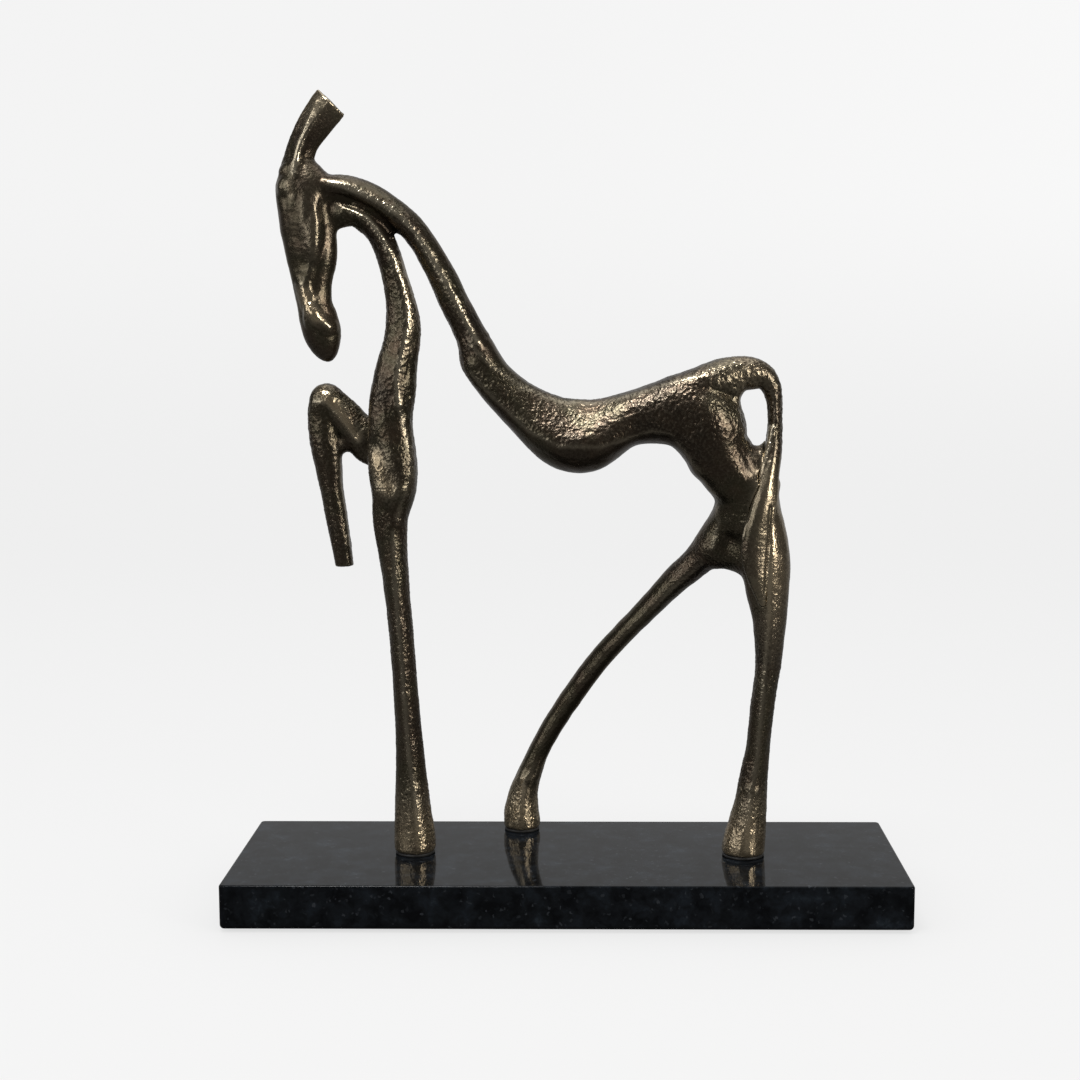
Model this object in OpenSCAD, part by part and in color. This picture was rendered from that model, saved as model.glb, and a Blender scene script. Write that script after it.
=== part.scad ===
// Bronze horse on a granite plinth.
// Eight bronze castings brazed into one figure, held down by a stud through the plinth under each planted hoof.
// Millimetres. The origin is the middle of the footprint at table level, +X runs from head to tail, +Z is up.

/* [Plinth] */
// Length of the granite plinth
plinth_l = 305; // [300:1:330]
// Depth of the granite plinth
plinth_w = 102; // [98:1:120]
// Thickness of the granite slab
plinth_t = 20; // [18:1:26]
// Radius worn onto the plinth's edges by polishing
plinth_r = 2; // [1:0.5:4]

/* [Felt feet] */
// Diameter of each felt foot
foot_d = 16; // [12:1:20]
// Height of each felt foot
foot_t = 1.5; // [1:0.5:3]
// Distance from the plinth's edges to the middle of a foot
foot_inset = 14; // [12:1:20]

/* [Fixings] */
// Thread diameter of the studs
stud_d = 5; // [4:1:6]
// Length of each stud
stud_l = 34; // [32:1:36]
// Clearance hole through the granite
hole_d = 6; // [5.5:0.5:8]
// Counterbore under the plinth
cbore_d = 16; // [15:1:20]
// Depth of the counterbore
cbore_h = 8; // [7:0.5:10]
// Outside diameter of each washer
washer_d = 12; // [10:1:14]
// Thickness of each washer
washer_t = 1; // [0.8:0.2:1.6]
// Nut size across the flats
nut_af = 8; // [8:0.5:10]
// Nut height
nut_h = 4; // [3:0.5:5]
// Thickness of the black seating pad under each hoof
pad_t = 1.5; // [0.5:0.5:2]

/* [Casting] */
// Sides of each limb's rounded section
sides = 16; // [12:2:20]

/* [Hidden] */

plinth_z = foot_t;
top_z = foot_t + plinth_t;
hoof_z = top_z + pad_t;
cbore_top = plinth_z + cbore_h;
stud_z = cbore_top - washer_t - nut_h - 1;

// Where the three planted hooves stand on the plinth
front_hoof = [-71, -1];
near_hind_hoof = [81, -4];
far_hind_hoof = [-23, 38];

// A limb is a list of stations along its middle: [x, y, z, thickness seen from the side, thickness seen from the front]
head = [
    [-120, 0, 334, 17, 12],   // crown, under the ears
    [-118, 0, 327, 24, 17],   // brow
    [-116.5, 0, 319, 26, 19], // eyes
    [-116, 0, 309, 25, 19],   // cheek
    [-114.5, 0, 295, 22.5, 17], // jaw
    [-114.5, 0, 281, 17.5, 13.5], // bridge of the nose
    [-113.5, 0, 274, 16, 12],
    [-111.5, 0, 265, 17.5, 12.5], // nostrils
    [-109.5, 0, 257, 14.5, 11.5],
    [-108, 0, 251, 7, 8]];    // lips
neck = [
    [-114, 0, 324, 18, 16],
    [-104, 0, 322, 19, 17],   // poll
    [-96, 0, 320.5, 21.5, 17],
    [-88, 0, 316.5, 22, 17],  // crest
    [-80, 0, 312.5, 17.5, 16],
    [-73, 0, 309, 13, 14],
    [-66, 0, 302, 11.5, 13],  // slit between crest and throat
    [-60, 0, 293.5, 11.5, 13],
    [-55, 0, 285, 12, 13.5],
    [-46.5, 0, 266, 13, 14.5],
    [-42, 0, 257, 13.5, 15],
    [-38.5, 0, 249, 16.5, 17]]; // withers, where the neck is brazed to the body
back = [
    [-38.5, 0, 249, 16.5, 17],
    [-33, 0, 241, 17.5, 18],
    [-24.5, 0, 233, 19.5, 20],
    [-16, 0, 227, 23, 23],    // saddle
    [-9, 0, 221.5, 28.5, 27],
    [-1, 0, 216, 32.5, 31],   // belly
    [8, 0, 215, 33, 32],
    [17, 0, 217, 30, 30],
    [26, 0, 221, 26.5, 28],   // loin
    [36, 0, 224.5, 25.5, 27],
    [46, 0, 226, 30, 28],
    [56, 0, 226.5, 36, 31],   // haunch
    [63, 0, 220, 36, 32],
    [67, 1, 210, 30, 31],
    [72.5, 2, 200, 28, 29],
    [79.5, 3, 190, 28, 28],   // stifle
    [82, 4, 176, 29, 28]];
croup = [
    [47, 0, 231.5, 19, 22],
    [59, 0, 236.5, 19, 23],
    [70, 0, 240, 19, 21],
    [78, 0, 243.5, 14, 15],
    [84, 0, 243.5, 13, 13]];
// The web at the foot of the opening between tail and haunch
web = [
    [74, 1, 205, 12, 14],
    [83, 0, 204, 13, 13],
    [90, -1, 201, 12, 11]];
throat = [
    [-93, 0, 318, 16, 13],
    [-86, 0, 308, 15, 13],
    [-81, 0, 298, 11.5, 12],
    [-77, 0, 285, 12, 12],
    [-74, 0, 271, 15, 13],
    [-75, 0, 257, 16.5, 14],
    [-78.5, 0, 240, 20, 16],  // chest
    [-80, 0, 222, 20, 17],    // shoulder, where the raised leg is brazed on
    [-79.5, 0, 205, 22, 18],
    [-79.5, 0, 189, 20, 18],  // elbow
    [-81, 0, 178, 16, 16],
    [-80, 0, 165, 13.5, 14.5],
    [-78, -0.5, 146, 12, 13],
    [-75.5, -1, 112, 11.5, 12.5],
    [-74, -1, 86, 12, 12.5],
    [-72.5, -1, 62, 14, 13.5], // fetlock
    [-72, -1, 46, 16.5, 15.5],
    [-71.5, -1, 32, 18.5, 18.5],
    [-71, -1, 20, 19, 19.5]]; // hoof
raised = [
    [-82, 7, 210, 18, 13],
    [-89, 9, 210.5, 21, 13],
    [-97, 10, 217, 17.5, 13],
    [-104, 10, 223.5, 16, 12.5],
    [-110, 10, 228, 15.5, 12],
    [-112.5, 10, 222, 14.5, 12], // knee
    [-110.5, 10, 208, 14, 12],
    [-109, 10, 194, 11.5, 11],
    [-106.5, 10, 177, 10, 10],
    [-104, 10, 162, 8.5, 9],
    [-103, 10, 156.5, 6.5, 7.5]]; // tip of the folded hoof
near_hind = [
    [87, 0, 192, 16, 22],
    [88, -1, 182, 17, 22],
    [89.5, -2, 169, 21.5, 21], // thigh
    [90.5, -3, 155, 22, 20],
    [92, -3.5, 141, 18, 18],
    [92.5, -4, 125, 13.5, 15],
    [92, -4, 108, 11, 13],
    [89.5, -4, 88, 10.5, 12], // hock
    [87, -4, 70, 11, 12],
    [85, -4, 56, 13, 13],
    [83.5, -4, 42, 15.5, 15],
    [82, -4, 31, 18, 18],
    [81, -4, 20, 20, 20]];    // hoof
far_hind = [
    [80, 5, 190, 20, 21],
    [75, 7, 178, 20, 20],     // thigh
    [67, 10.5, 165, 17.5, 18],
    [52, 16, 149, 13, 15],
    [34, 22, 130, 10, 13],
    [15, 28, 108, 10, 12],
    [5, 31, 94.5, 9.8, 12],   // hock
    [-4.5, 34, 80, 9.8, 11.5],
    [-13.5, 36, 63, 10, 12],
    [-18, 37, 52, 11.5, 13],
    [-22, 38, 40.5, 14, 14.5],
    [-23.5, 38, 30, 17, 16.5],
    [-23, 38, 20, 17.5, 17]]; // hoof
tail_line = [
    [76, 0, 243.5, 14, 15],
    [84, 0, 243, 12.5, 12.5],
    [90.5, 0, 238.5, 9.5, 10.5], // the bend over the croup
    [93.8, 0, 230, 7, 9],
    [94.1, -0.5, 219, 6.5, 9],
    [93.3, -3, 207, 7.2, 9.5],
    [91, -8, 197, 9, 9],
    [87.5, -11.5, 182, 12, 6],
    [85, -12.5, 168, 13.5, 5],
    [85.5, -13, 154, 10.5, 4.5], // the flat leaf on the thigh
    [87, -13, 145, 6, 4],
    [88, -12.5, 139, 3, 3]];

// The pair of ears cast as one tuft: [x, z, width from the side, thickness from the front, lean]
ears = [
    [-120.5, 330, 17, 13, 0],
    [-119, 338, 13.5, 12, 8],
    [-117, 345, 13, 11, 20],
    [-112.5, 353, 14, 10.5, 32],
    [-107.5, 360, 14.5, 10, 40],
    [-101, 367, 15, 9.5, 43.5]];

// Catmull-Rom curve through the stations
function spline(a, b, c, d, t) = 0.5 * (2 * b + (c - a) * t + (2 * a - 5 * b + 4 * c - d) * t * t + (3 * b - a - 3 * c + d) * t * t * t);
function at(s, i) = s[max(0, min(len(s) - 1, i))];
function path(s, n) = [for (i = [0:len(s) - 2]) for (k = [0:n - 1]) spline(at(s, i - 1), s[i], s[i + 1], at(s, i + 2), k / n), s[len(s) - 1]];
function spine(p) = [p[0], p[1], p[2]];
function along(p, i) = let (v = spine(at(p, i + 1)) - spine(at(p, i - 1))) v / norm(v);
// One elliptical ring square to the limb. Its second axis stays near the Y direction.
function ring(p, i, k = 1, shift = 0) = let (
        t = along(p, i),
        u0 = [0, 1, 0] - t[1] * t,
        u = u0 / norm(u0),
        v = cross(t, u))
    [for (a = [0:sides - 1]) spine(p[i]) + shift * t + k * (p[i][3] / 2 * cos(360 * a / sides) * v + p[i][4] / 2 * sin(360 * a / sides) * u)];
faces2 = [[for (a = [0:sides - 1]) sides - 1 - a], [for (a = [0:sides - 1]) sides + a],
    for (a = [0:sides - 1]) [a, (a + 1) % sides, sides + (a + 1) % sides, sides + a]];

// A limb cast along its stations. Rounded ends swell out by a share of the end section.
module limb(s, n = 2, start_round = 0, end_round = 0) {
    p = path(s, n);
    m = len(p) - 1;
    for (i = [0:m - 1]) hull() polyhedron(points = concat(ring(p, i), ring(p, i + 1)), faces = faces2);
    if (start_round > 0) hull() polyhedron(points = concat(ring(p, 0, 0.6, -start_round), ring(p, 0)), faces = faces2);
    if (end_round > 0) hull() polyhedron(points = concat(ring(p, m), ring(p, m, 0.6, end_round)), faces = faces2);
}

// Everything on one side of a plane that contains the Y direction. The plane passes through x, z and a tilt turns it about Y.
module beyond(x, z, tilt) {
    translate([x, 0, z]) rotate([0, tilt, 0]) translate([-200, -200, 0]) cube([400, 400, 400]);
}

// The plane where the throat strand leaves the neck, seen from the side
module throat_side() { translate([-99.5, -30, 270]) cube([25.5, 60, 38.5]); }
// The face of the shoulder that the raised leg is brazed to
module shoulder_cut() { translate([-88, 1.5, 180]) rotate([0, 0, 50]) translate([-40, 0, 0]) cube([60, 30, 60]); }
// The face at the end of the croup that the tail is brazed to
module tail_end() { translate([80, -30, 226]) cube([40, 60, 40]); }
// The level where both hind legs meet the body
waist = 184;
// The plane between the two hind legs runs up from the fork
module far_side() { translate([71, -60, 153]) rotate([0, 14, 0]) translate([-60, 0, -80]) cube([60, 120, 200]); }

module stud_hole(at_xy) {
    translate([at_xy[0], at_xy[1], hoof_z - 1]) cylinder(r = stud_d / 2 / cos(180 / 24), h = stud_z + stud_l - hoof_z + 1.5, $fn = 24);
}

module head_and_neck() {
    color([0.24, 0.19, 0.13]) difference() {
        union() {
            limb(head, 2, 0, 1.5);
            limb(neck, 2);
        }
        // The ears are brazed to a flat on the crown
        translate([-140, -20, 332]) cube([45, 40, 20]);
        throat_side();
    }
}

module ear_tuft() {
    color([0.30, 0.24, 0.16]) difference() {
        // Two flat facets meet in a ridge down each side, so the section is a diamond
        for (i = [0:len(ears) - 2]) for (s = [-1, 1]) hull() for (k = [0, 1]) let (e = ears[i + k]) {
            translate([e[0], 0, e[1]]) rotate([0, e[4], 0]) linear_extrude(0.4) polygon([[-e[2] / 2, 0], [-0.15 * e[2], s * e[3] / 2], [e[2] / 2, s * e[3] / 5], [e[2] / 2, 0]]);
        }
        translate([-140, -20, 312]) cube([45, 40, 20]);
        // The tips are sawn off square
        translate([-110, -20, 368.3]) rotate([0, 43.5, 0]) translate([-12, 0, 0]) cube([40, 40, 20]);
    }
}

module chest_and_front_leg() {
    color([0.26, 0.21, 0.14]) difference() {
        limb(throat, 2);
        translate([-130, -30, 308.5]) cube([80, 60, 30]);
        shoulder_cut();
        translate([-100, -30, hoof_z - 20]) cube([60, 60, 20]);
        stud_hole(front_hoof);
    }
}

module raised_front_leg() {
    color([0.25, 0.20, 0.14]) intersection() {
        limb(raised, 2, 0, 1.5);
        union() {
            shoulder_cut();
            translate([-140, -20, 140]) cube([50, 60, 120]);
        }
    }
}

module body() {
    color([0.24, 0.19, 0.13]) difference() {
        union() {
            limb(back, 2);
            limb(croup, 2, 2);
            limb(web, 2, 2, 2);
        }
        translate([40, -40, waist - 60]) cube([80, 80, 60]);
        tail_end();
        limb(tail_line, 2);
    }
}

module far_hind_leg() {
    color([0.25, 0.20, 0.14]) difference() {
        intersection() {
            limb(far_hind, 2);
            union() {
                far_side();
                translate([-60, -60, 0]) cube([130, 160, 160]);
            }
        }
        translate([20, -60, waist]) cube([120, 120, 40]);
        translate([-60, 0, hoof_z - 20]) cube([80, 80, 20]);
        stud_hole(far_hind_hoof);
    }
}

module near_hind_leg() {
    color([0.25, 0.20, 0.14]) difference() {
        limb(near_hind, 2);
        far_side();
        translate([20, -60, waist]) cube([120, 120, 40]);
        translate([40, -40, hoof_z - 20]) cube([80, 80, 20]);
        limb(tail_line, 2);
        stud_hole(near_hind_hoof);
    }
}

module tail() {
    color([0.31, 0.25, 0.17]) difference() {
        limb(tail_line, 2, 0, 1);
        translate([60, -30, 226]) cube([20, 60, 40]);
    }
}

module plinth_outline(h) {
    hull() for (x = [-1, 1]) for (y = [-1, 1]) for (z = [plinth_r, h - plinth_r])
        translate([x * (plinth_l / 2 - plinth_r), y * (plinth_w / 2 - plinth_r), z]) sphere(r = plinth_r, $fn = 24);
}

module granite_plinth() {
    color([0.08, 0.08, 0.09]) difference() {
        translate([0, 0, plinth_z]) plinth_outline(plinth_t);
        for (h = [front_hoof, near_hind_hoof, far_hind_hoof]) translate([h[0], h[1], 0]) {
            cylinder(d = hole_d, h = top_z + 1, $fn = 32);
            cylinder(d = cbore_d, h = cbore_top, $fn = 48);
        }
    }
}

module pad(at_xy, d) {
    color([0.03, 0.03, 0.03]) translate([at_xy[0], at_xy[1], top_z]) difference() {
        cylinder(d = d, h = pad_t, $fn = 48);
        translate([0, 0, -1]) cylinder(d = hole_d, h = pad_t + 2, $fn = 32);
    }
}
module front_hoof_pad() { pad(front_hoof, 18.5); }
module near_hind_hoof_pad() { pad(near_hind_hoof, 19.5); }
module far_hind_hoof_pad() { pad(far_hind_hoof, 17); }

module stud(at_xy) {
    color([0.7, 0.7, 0.72]) translate([at_xy[0], at_xy[1], stud_z]) cylinder(d = stud_d, h = stud_l, $fn = 24);
}
module front_stud() { stud(front_hoof); }
module near_hind_stud() { stud(near_hind_hoof); }
module far_hind_stud() { stud(far_hind_hoof); }

module washer(at_xy) {
    color([0.72, 0.72, 0.74]) translate([at_xy[0], at_xy[1], cbore_top - washer_t]) difference() {
        cylinder(d = washer_d, h = washer_t, $fn = 48);
        translate([0, 0, -1]) cylinder(d = stud_d + 0.3, h = washer_t + 2, $fn = 32);
    }
}
module front_washer() { washer(front_hoof); }
module near_hind_washer() { washer(near_hind_hoof); }
module far_hind_washer() { washer(far_hind_hoof); }

module nut(at_xy) {
    color([0.72, 0.72, 0.74]) translate([at_xy[0], at_xy[1], cbore_top - washer_t - nut_h]) difference() {
        cylinder(d = nut_af / cos(30), h = nut_h, $fn = 6);
        translate([0, 0, -1]) cylinder(d = stud_d, h = nut_h + 2, $fn = 24);
    }
}
module front_nut() { nut(front_hoof); }
module near_hind_nut() { nut(near_hind_hoof); }
module far_hind_nut() { nut(far_hind_hoof); }

module felt_foot(x, y) {
    color([0.1, 0.1, 0.1]) translate([x * (plinth_l / 2 - foot_inset), y * (plinth_w / 2 - foot_inset), 0]) cylinder(d = foot_d, h = foot_t, $fn = 48);
}
module front_left_felt_foot() { felt_foot(-1, -1); }
module front_right_felt_foot() { felt_foot(1, -1); }
module back_left_felt_foot() { felt_foot(-1, 1); }
module back_right_felt_foot() { felt_foot(1, 1); }

head_and_neck();
ear_tuft();
chest_and_front_leg();
raised_front_leg();
body();
far_hind_leg();
near_hind_leg();
tail();
granite_plinth();
front_hoof_pad();
near_hind_hoof_pad();
far_hind_hoof_pad();
front_stud();
near_hind_stud();
far_hind_stud();
front_washer();
near_hind_washer();
far_hind_washer();
front_nut();
near_hind_nut();
far_hind_nut();
front_left_felt_foot();
front_right_felt_foot();
back_left_felt_foot();
back_right_felt_foot();
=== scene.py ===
import math
import bpy
import bmesh
import numpy as np
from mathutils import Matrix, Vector


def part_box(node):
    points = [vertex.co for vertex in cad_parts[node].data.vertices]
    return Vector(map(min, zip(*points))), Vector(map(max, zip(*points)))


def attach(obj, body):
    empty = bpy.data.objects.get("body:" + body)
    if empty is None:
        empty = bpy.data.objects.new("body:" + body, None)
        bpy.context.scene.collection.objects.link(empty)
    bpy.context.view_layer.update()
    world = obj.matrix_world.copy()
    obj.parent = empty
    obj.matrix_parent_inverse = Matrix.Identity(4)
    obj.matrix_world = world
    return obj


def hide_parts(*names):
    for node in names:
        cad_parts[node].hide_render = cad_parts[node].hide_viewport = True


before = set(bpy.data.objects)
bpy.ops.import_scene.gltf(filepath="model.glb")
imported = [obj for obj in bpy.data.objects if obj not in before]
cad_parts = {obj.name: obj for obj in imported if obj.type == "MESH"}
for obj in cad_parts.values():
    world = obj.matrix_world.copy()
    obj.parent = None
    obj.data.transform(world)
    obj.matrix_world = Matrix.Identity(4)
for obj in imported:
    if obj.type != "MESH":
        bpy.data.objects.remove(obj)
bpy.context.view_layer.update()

MM = 0.001
scene = bpy.context.scene

# ------------------------------------------------------------------ limbs
# Stations along each limb, in millimetres:
# x, y, z, thickness from the side, thickness from the front, roundness (2 is an ellipse, less is ridged, more is boxy), lean of the fullest part
HEAD = [
    [-120, 0, 334, 17, 12, 2.0, 0], [-118.2, 0, 328, 23.5, 16, 2.0, 0], [-116.6, 0, 319, 25.8, 18.5, 1.8, 0],
    [-115.8, 0, 309, 25.2, 17.5, 1.7, 0], [-115, 0, 302, 24, 16.5, 1.65, 0], [-114.3, 0, 294, 22.6, 15, 1.6, 0],
    [-114.4, 0, 287, 19.4, 13.6, 1.6, 0], [-114.2, 0, 280.5, 17, 12.6, 1.6, 0], [-113.3, 0, 274, 16.2, 13, 1.65, 0],
    [-111.8, 0, 268, 17.4, 14.6, 1.7, 0], [-110.4, 0, 262, 17.2, 14.6, 1.8, 0], [-109.3, 0, 256.5, 14.2, 12.6, 1.9, 0],
    [-108.2, 0, 252.5, 9.5, 9.5, 2, 0], [-107.6, 0, 250.8, 6, 6.5, 2, 0]]
CREST = [
    [-116, 0, 325, 15, 13, 2, 0], [-108, 0, 324.4, 13.8, 13, 2, 0.1], [-100, 0, 324.5, 13.5, 13, 1.9, 0.2],
    [-92, 0, 322.3, 14.2, 13.5, 1.8, 0.1], [-83.8, 0, 318.2, 14, 14, 1.75, 0], [-76.5, 0, 313.3, 13.4, 14, 1.75, 0],
    [-70.5, 0, 309, 11.9, 13.5, 1.8, 0], [-65.2, 0, 302.4, 11.6, 13, 1.8, 0], [-60, 0, 293.8, 12.2, 13, 1.8, 0],
    [-55.2, 0, 285, 12.8, 13.5, 1.8, 0], [-50.8, 0, 275, 13.2, 14, 1.85, 0], [-46.2, 0, 266.1, 13.4, 14.5, 1.85, 0],
    [-42, 0, 257.4, 14.8, 15, 1.9, 0], [-39.4, 0, 249.2, 17.4, 16.5, 1.9, 0]]
BACK = [
    [-42, 0, 257.4, 14.8, 15, 1.9, 0], [-39.1, 0, 248.7, 17.6, 17, 1.9, 0], [-33.4, 0, 240.5, 18.2, 18, 1.9, -0.05],
    [-25.2, 0, 232.3, 19.6, 20, 1.9, -0.12], [-17, 0, 225.8, 22.8, 23, 1.85, -0.2], [-8.8, 0, 220.2, 27.6, 27, 1.8, -0.28],
    [-0.5, 0, 216, 32.0, 30.5, 1.8, -0.3], [8, 0, 215.2, 32.8, 31.5, 1.8, -0.3], [17, 0, 218.4, 27.6, 30, 1.8, -0.25],
    [26, 0, 222.3, 24.0, 28, 1.85, -0.15], [36, 0, 224.6, 25.4, 27, 1.9, -0.05], [46, 0, 226, 29.6, 28, 1.9, 0],
    [56, 0, 226, 35, 30, 1.95, 0], [63, 0, 219.5, 35, 31, 2, 0], [67, 1, 210, 30, 30, 2, 0],
    [73, 2, 200, 27.2, 28.5, 2, 0], [80.8, 3, 190, 26.2, 27.5, 2, 0], [83.2, 4, 176, 25.6, 27, 2, 0]]
CROUP = [
    [47, 0, 232, 18, 21, 2, 0], [59, 0, 237, 18, 22, 2, 0], [70, 0, 241, 18.2, 20, 2, 0],
    [78, 0, 243.4, 15.2, 15.5, 2, 0], [84, 0, 243.4, 13.8, 13.5, 2, 0]]
WEB = [[73, 1, 206, 12, 15, 2, 0], [81, 0, 203.5, 13, 14, 2, 0], [87.5, -0.3, 202.5, 12.5, 12, 2, 0], [90, -0.5, 193, 12, 14, 2, 0]]
THROAT = [
    [-103, 0, 318.5, 12, 11, 2, 0], [-97.5, 0, 316, 11.5, 11, 1.9, 0], [-91, 0, 313.1, 10.6, 11.5, 1.8, 0], [-85.1, 0, 306.8, 11.2, 12, 1.75, 0],
    [-80.9, 0, 298.5, 11.2, 12, 1.75, 0.1], [-77.5, 0, 287, 11.4, 12, 1.75, 0.15], [-75, 0, 276, 13.2, 12.5, 1.75, 0.15], [-73.8, 0, 266, 15.6, 13, 1.8, 0.1],
    [-74.6, 0, 256.5, 16.6, 14, 1.85, 0], [-76.7, 0, 247, 18.2, 15, 1.9, 0], [-78.1, 0, 238.5, 19.8, 15.5, 1.95, 0], [-79.6, 0, 229, 20.4, 15.5, 2, 0],
    [-80.1, 0, 220, 20.2, 16, 2, 0], [-79.9, 0, 211, 21.4, 17.5, 2, 0], [-79.3, -0.5, 202, 22.4, 19.5, 2, 0], [-78.9, -0.5, 194, 21.4, 19.5, 2, 0],
    [-79.4, 0, 187, 19, 17.5, 2, 0], [-80.7, 0, 179.5, 16.6, 15.5, 2, 0], [-80.6, 0, 171, 14.8, 14.5, 1.9, 0], [-79.8, 0, 162, 13.3, 14, 1.85, 0],
    [-78.4, -0.5, 148, 11.9, 13, 1.8, 0], [-76.6, -0.8, 128, 11.3, 12.5, 1.8, 0], [-75.2, -1, 108, 11.3, 12.5, 1.8, 0], [-74, -1, 88, 11.8, 12.5, 1.8, 0],
    [-73, -1, 70, 13.1, 13, 1.8, 0], [-72.3, -1, 54, 15, 14.5, 1.85, 0], [-71.8, -1, 40, 17.2, 17, 1.9, 0], [-71.2, -1, 31, 18.8, 18.5, 2, 0],
    [-71, -1, 25, 19, 19, 2.2, 0], [-71, -1, 19, 18, 18, 2.2, 0]]
RAISED = [
    [-82, 7, 210, 17, 12.5, 2, 0], [-89, 9, 210.7, 20, 12.5, 2, 0], [-97, 10, 217.3, 17.4, 12.5, 1.9, 0], [-103.5, 10, 224.0, 16.8, 12.3, 1.9, 0],
    [-108.8, 10, 228.3, 15.8, 12, 1.9, 0], [-111.6, 10, 225.2, 15, 12, 1.9, 0], [-111.6, 10, 216, 14.4, 12, 1.9, 0], [-110.8, 10, 208, 13.8, 12, 1.9, 0],
    [-109.8, 10, 200, 12.3, 11.5, 1.8, 0], [-108.9, 10, 191.5, 11, 11, 1.8, 0], [-107.4, 10, 181.5, 10.2, 10.5, 1.8, 0], [-105.8, 10, 171, 9.5, 10, 1.8, 0],
    [-104.5, 10, 163, 8.9, 9.2, 2.2, 0], [-103.6, 10, 157, 8.4, 8.6, 2.4, 0], [-102.7, 10, 150, 8.2, 8.2, 2.4, 0]]
NEAR = [
    [86, 0, 192, 16, 22, 2, 0], [87.4, -1, 182, 17, 21, 2, 0], [89.1, -2, 170, 20.5, 20, 2, 0], [89.9, -3, 158, 22, 19.5, 2, 0],
    [90.8, -3.5, 146, 19.8, 18, 2, 0], [91.8, -3.7, 135, 16.4, 16.5, 1.9, 0], [92, -4, 124, 13.9, 15, 1.85, 0], [91.5, -4, 111, 11.9, 13.2, 1.8, 0],
    [90.1, -4, 99, 11.1, 12.5, 1.8, 0], [88.7, -4, 87, 10.9, 12, 1.8, 0], [87.3, -4, 72.5, 11.2, 12, 1.8, 0], [85.7, -4, 60, 12.9, 13, 1.8, 0],
    [84.5, -4, 48, 14.6, 15, 1.85, 0], [83, -4, 37, 17.2, 17, 1.9, 0], [81.6, -4, 29, 19.2, 19, 2, 0], [81, -4, 24.5, 19.8, 20, 2.2, 0], [81, -4, 18, 19, 19, 2.2, 0]]
FAR = [
    [80.5, 5, 190, 19, 20, 2, 0], [75.4, 7, 178, 18.6, 19, 2, 0], [67, 10.5, 165, 17, 17, 1.9, 0], [59.5, 13.5, 156, 14.4, 15.5, 1.8, 0],
    [51.7, 16, 148.7, 13.3, 14.5, 1.7, 0], [42.8, 19, 139.2, 11.7, 13.5, 1.65, 0], [34, 22, 129.4, 10.7, 12.8, 1.65, 0], [24.3, 25, 118.7, 10.5, 12.4, 1.65, 0],
    [15.1, 28, 107.8, 10.5, 12, 1.65, 0], [5.6, 31, 94.6, 10.3, 12, 1.7, 0], [-4.2, 34, 79.7, 10.2, 11.6, 1.75, 0], [-13.6, 36, 63, 9.9, 12, 1.8, 0],
    [-18, 37, 52.3, 11.3, 13, 1.85, 0], [-22, 38, 40.7, 13.6, 14.5, 1.9, 0], [-23.2, 38, 31, 16.6, 16.5, 2, 0], [-23, 38, 25, 17.4, 17.5, 2.2, 0], [-23, 38, 18, 16.5, 16.5, 2.2, 0]]
TAIL = [
    [76, 0, 243.2, 14.4, 15, 2, 0], [84, 0, 243.1, 13.4, 13, 2, 0], [88.6, 0, 241.4, 11.2, 11.5, 1.9, 0], [91.7, 0, 237, 9, 10, 1.9, 0],
    [93.2, 0, 230.5, 7.4, 9, 1.7, 0], [93.6, -0.3, 222, 6.9, 8.8, 1.6, 0], [93.3, -1, 214.5, 7.3, 9, 1.6, 0], [92.2, -3, 206.5, 8.6, 9.5, 1.7, 0],
    [90.8, -6, 199, 9.4, 9, 1.7, -0.1], [89.3, -9.5, 190, 10.6, 7.2, 1.7, -0.3], [87.3, -11.4, 181, 12.2, 6, 1.6, -0.45], [85.2, -12.2, 171, 13.3, 5.2, 1.6, -0.5],
    [84.4, -12.6, 162.5, 13.2, 4.8, 1.6, -0.5], [85.2, -12.9, 154, 10.4, 4.5, 1.7, -0.4], [86.5, -12.8, 146.5, 7, 4, 1.8, -0.2], [87.6, -12.3, 140, 3.6, 3.2, 2, 0]]
EARS = [
    [-118.5, 0, 320, 12, 8, 2, 0], [-119.6, 0, 327, 13.6, 10, 1.8, 0], [-120.2, 0, 333, 14.8, 12, 1.4, 0.1], [-119.4, 0, 338, 13.4, 11.5, 1.2, 0.1], [-117, 0, 345, 13.2, 11, 1.15, 0.05],
    [-112.3, 0, 352.7, 15, 10.8, 1.15, 0], [-107.3, 0, 359.3, 16.2, 10.6, 1.15, 0], [-101.9, 0, 365.8, 16.4, 10.4, 1.2, 0], [-97.7, 0, 370.6, 16.4, 10.4, 1.2, 0]]

H = 0.8
LO = np.array([-134.0, -24.0, 15.0])
HI = np.array([107.0, 54.0, 376.0])
DIM = np.ceil((HI - LO) / H).astype(int) + 1
AX = [LO[i] + H * np.arange(DIM[i]) for i in range(3)]


def stations(rows, step=1.1):
    """Points every step millimetres along a Catmull-Rom curve through the rows."""
    P = np.array(rows, float)
    Q = np.vstack([2 * P[0] - P[1], P, 2 * P[-1] - P[-2]])
    Q[0, 3:], Q[-1, 3:] = P[0, 3:], P[-1, 3:]
    out = []
    for i in range(1, len(Q) - 2):
        a, b, c, d = Q[i - 1], Q[i], Q[i + 1], Q[i + 2]
        for t in np.linspace(0, 1, 16, endpoint=False):
            out.append(0.5 * (2 * b + (c - a) * t + (2 * a - 5 * b + 4 * c - d) * t**2 + (3 * b - a - 3 * c + d) * t**3))
    out.append(P[-1])
    out = np.array(out)
    s = np.concatenate([[0], np.cumsum(np.linalg.norm(np.diff(out[:, :3], axis=0), axis=1))])
    at = np.linspace(0, s[-1], max(3, int(s[-1] / step) + 1))
    return np.stack([np.interp(at, s, out[:, k]) for k in range(out.shape[1])], axis=1)


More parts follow.
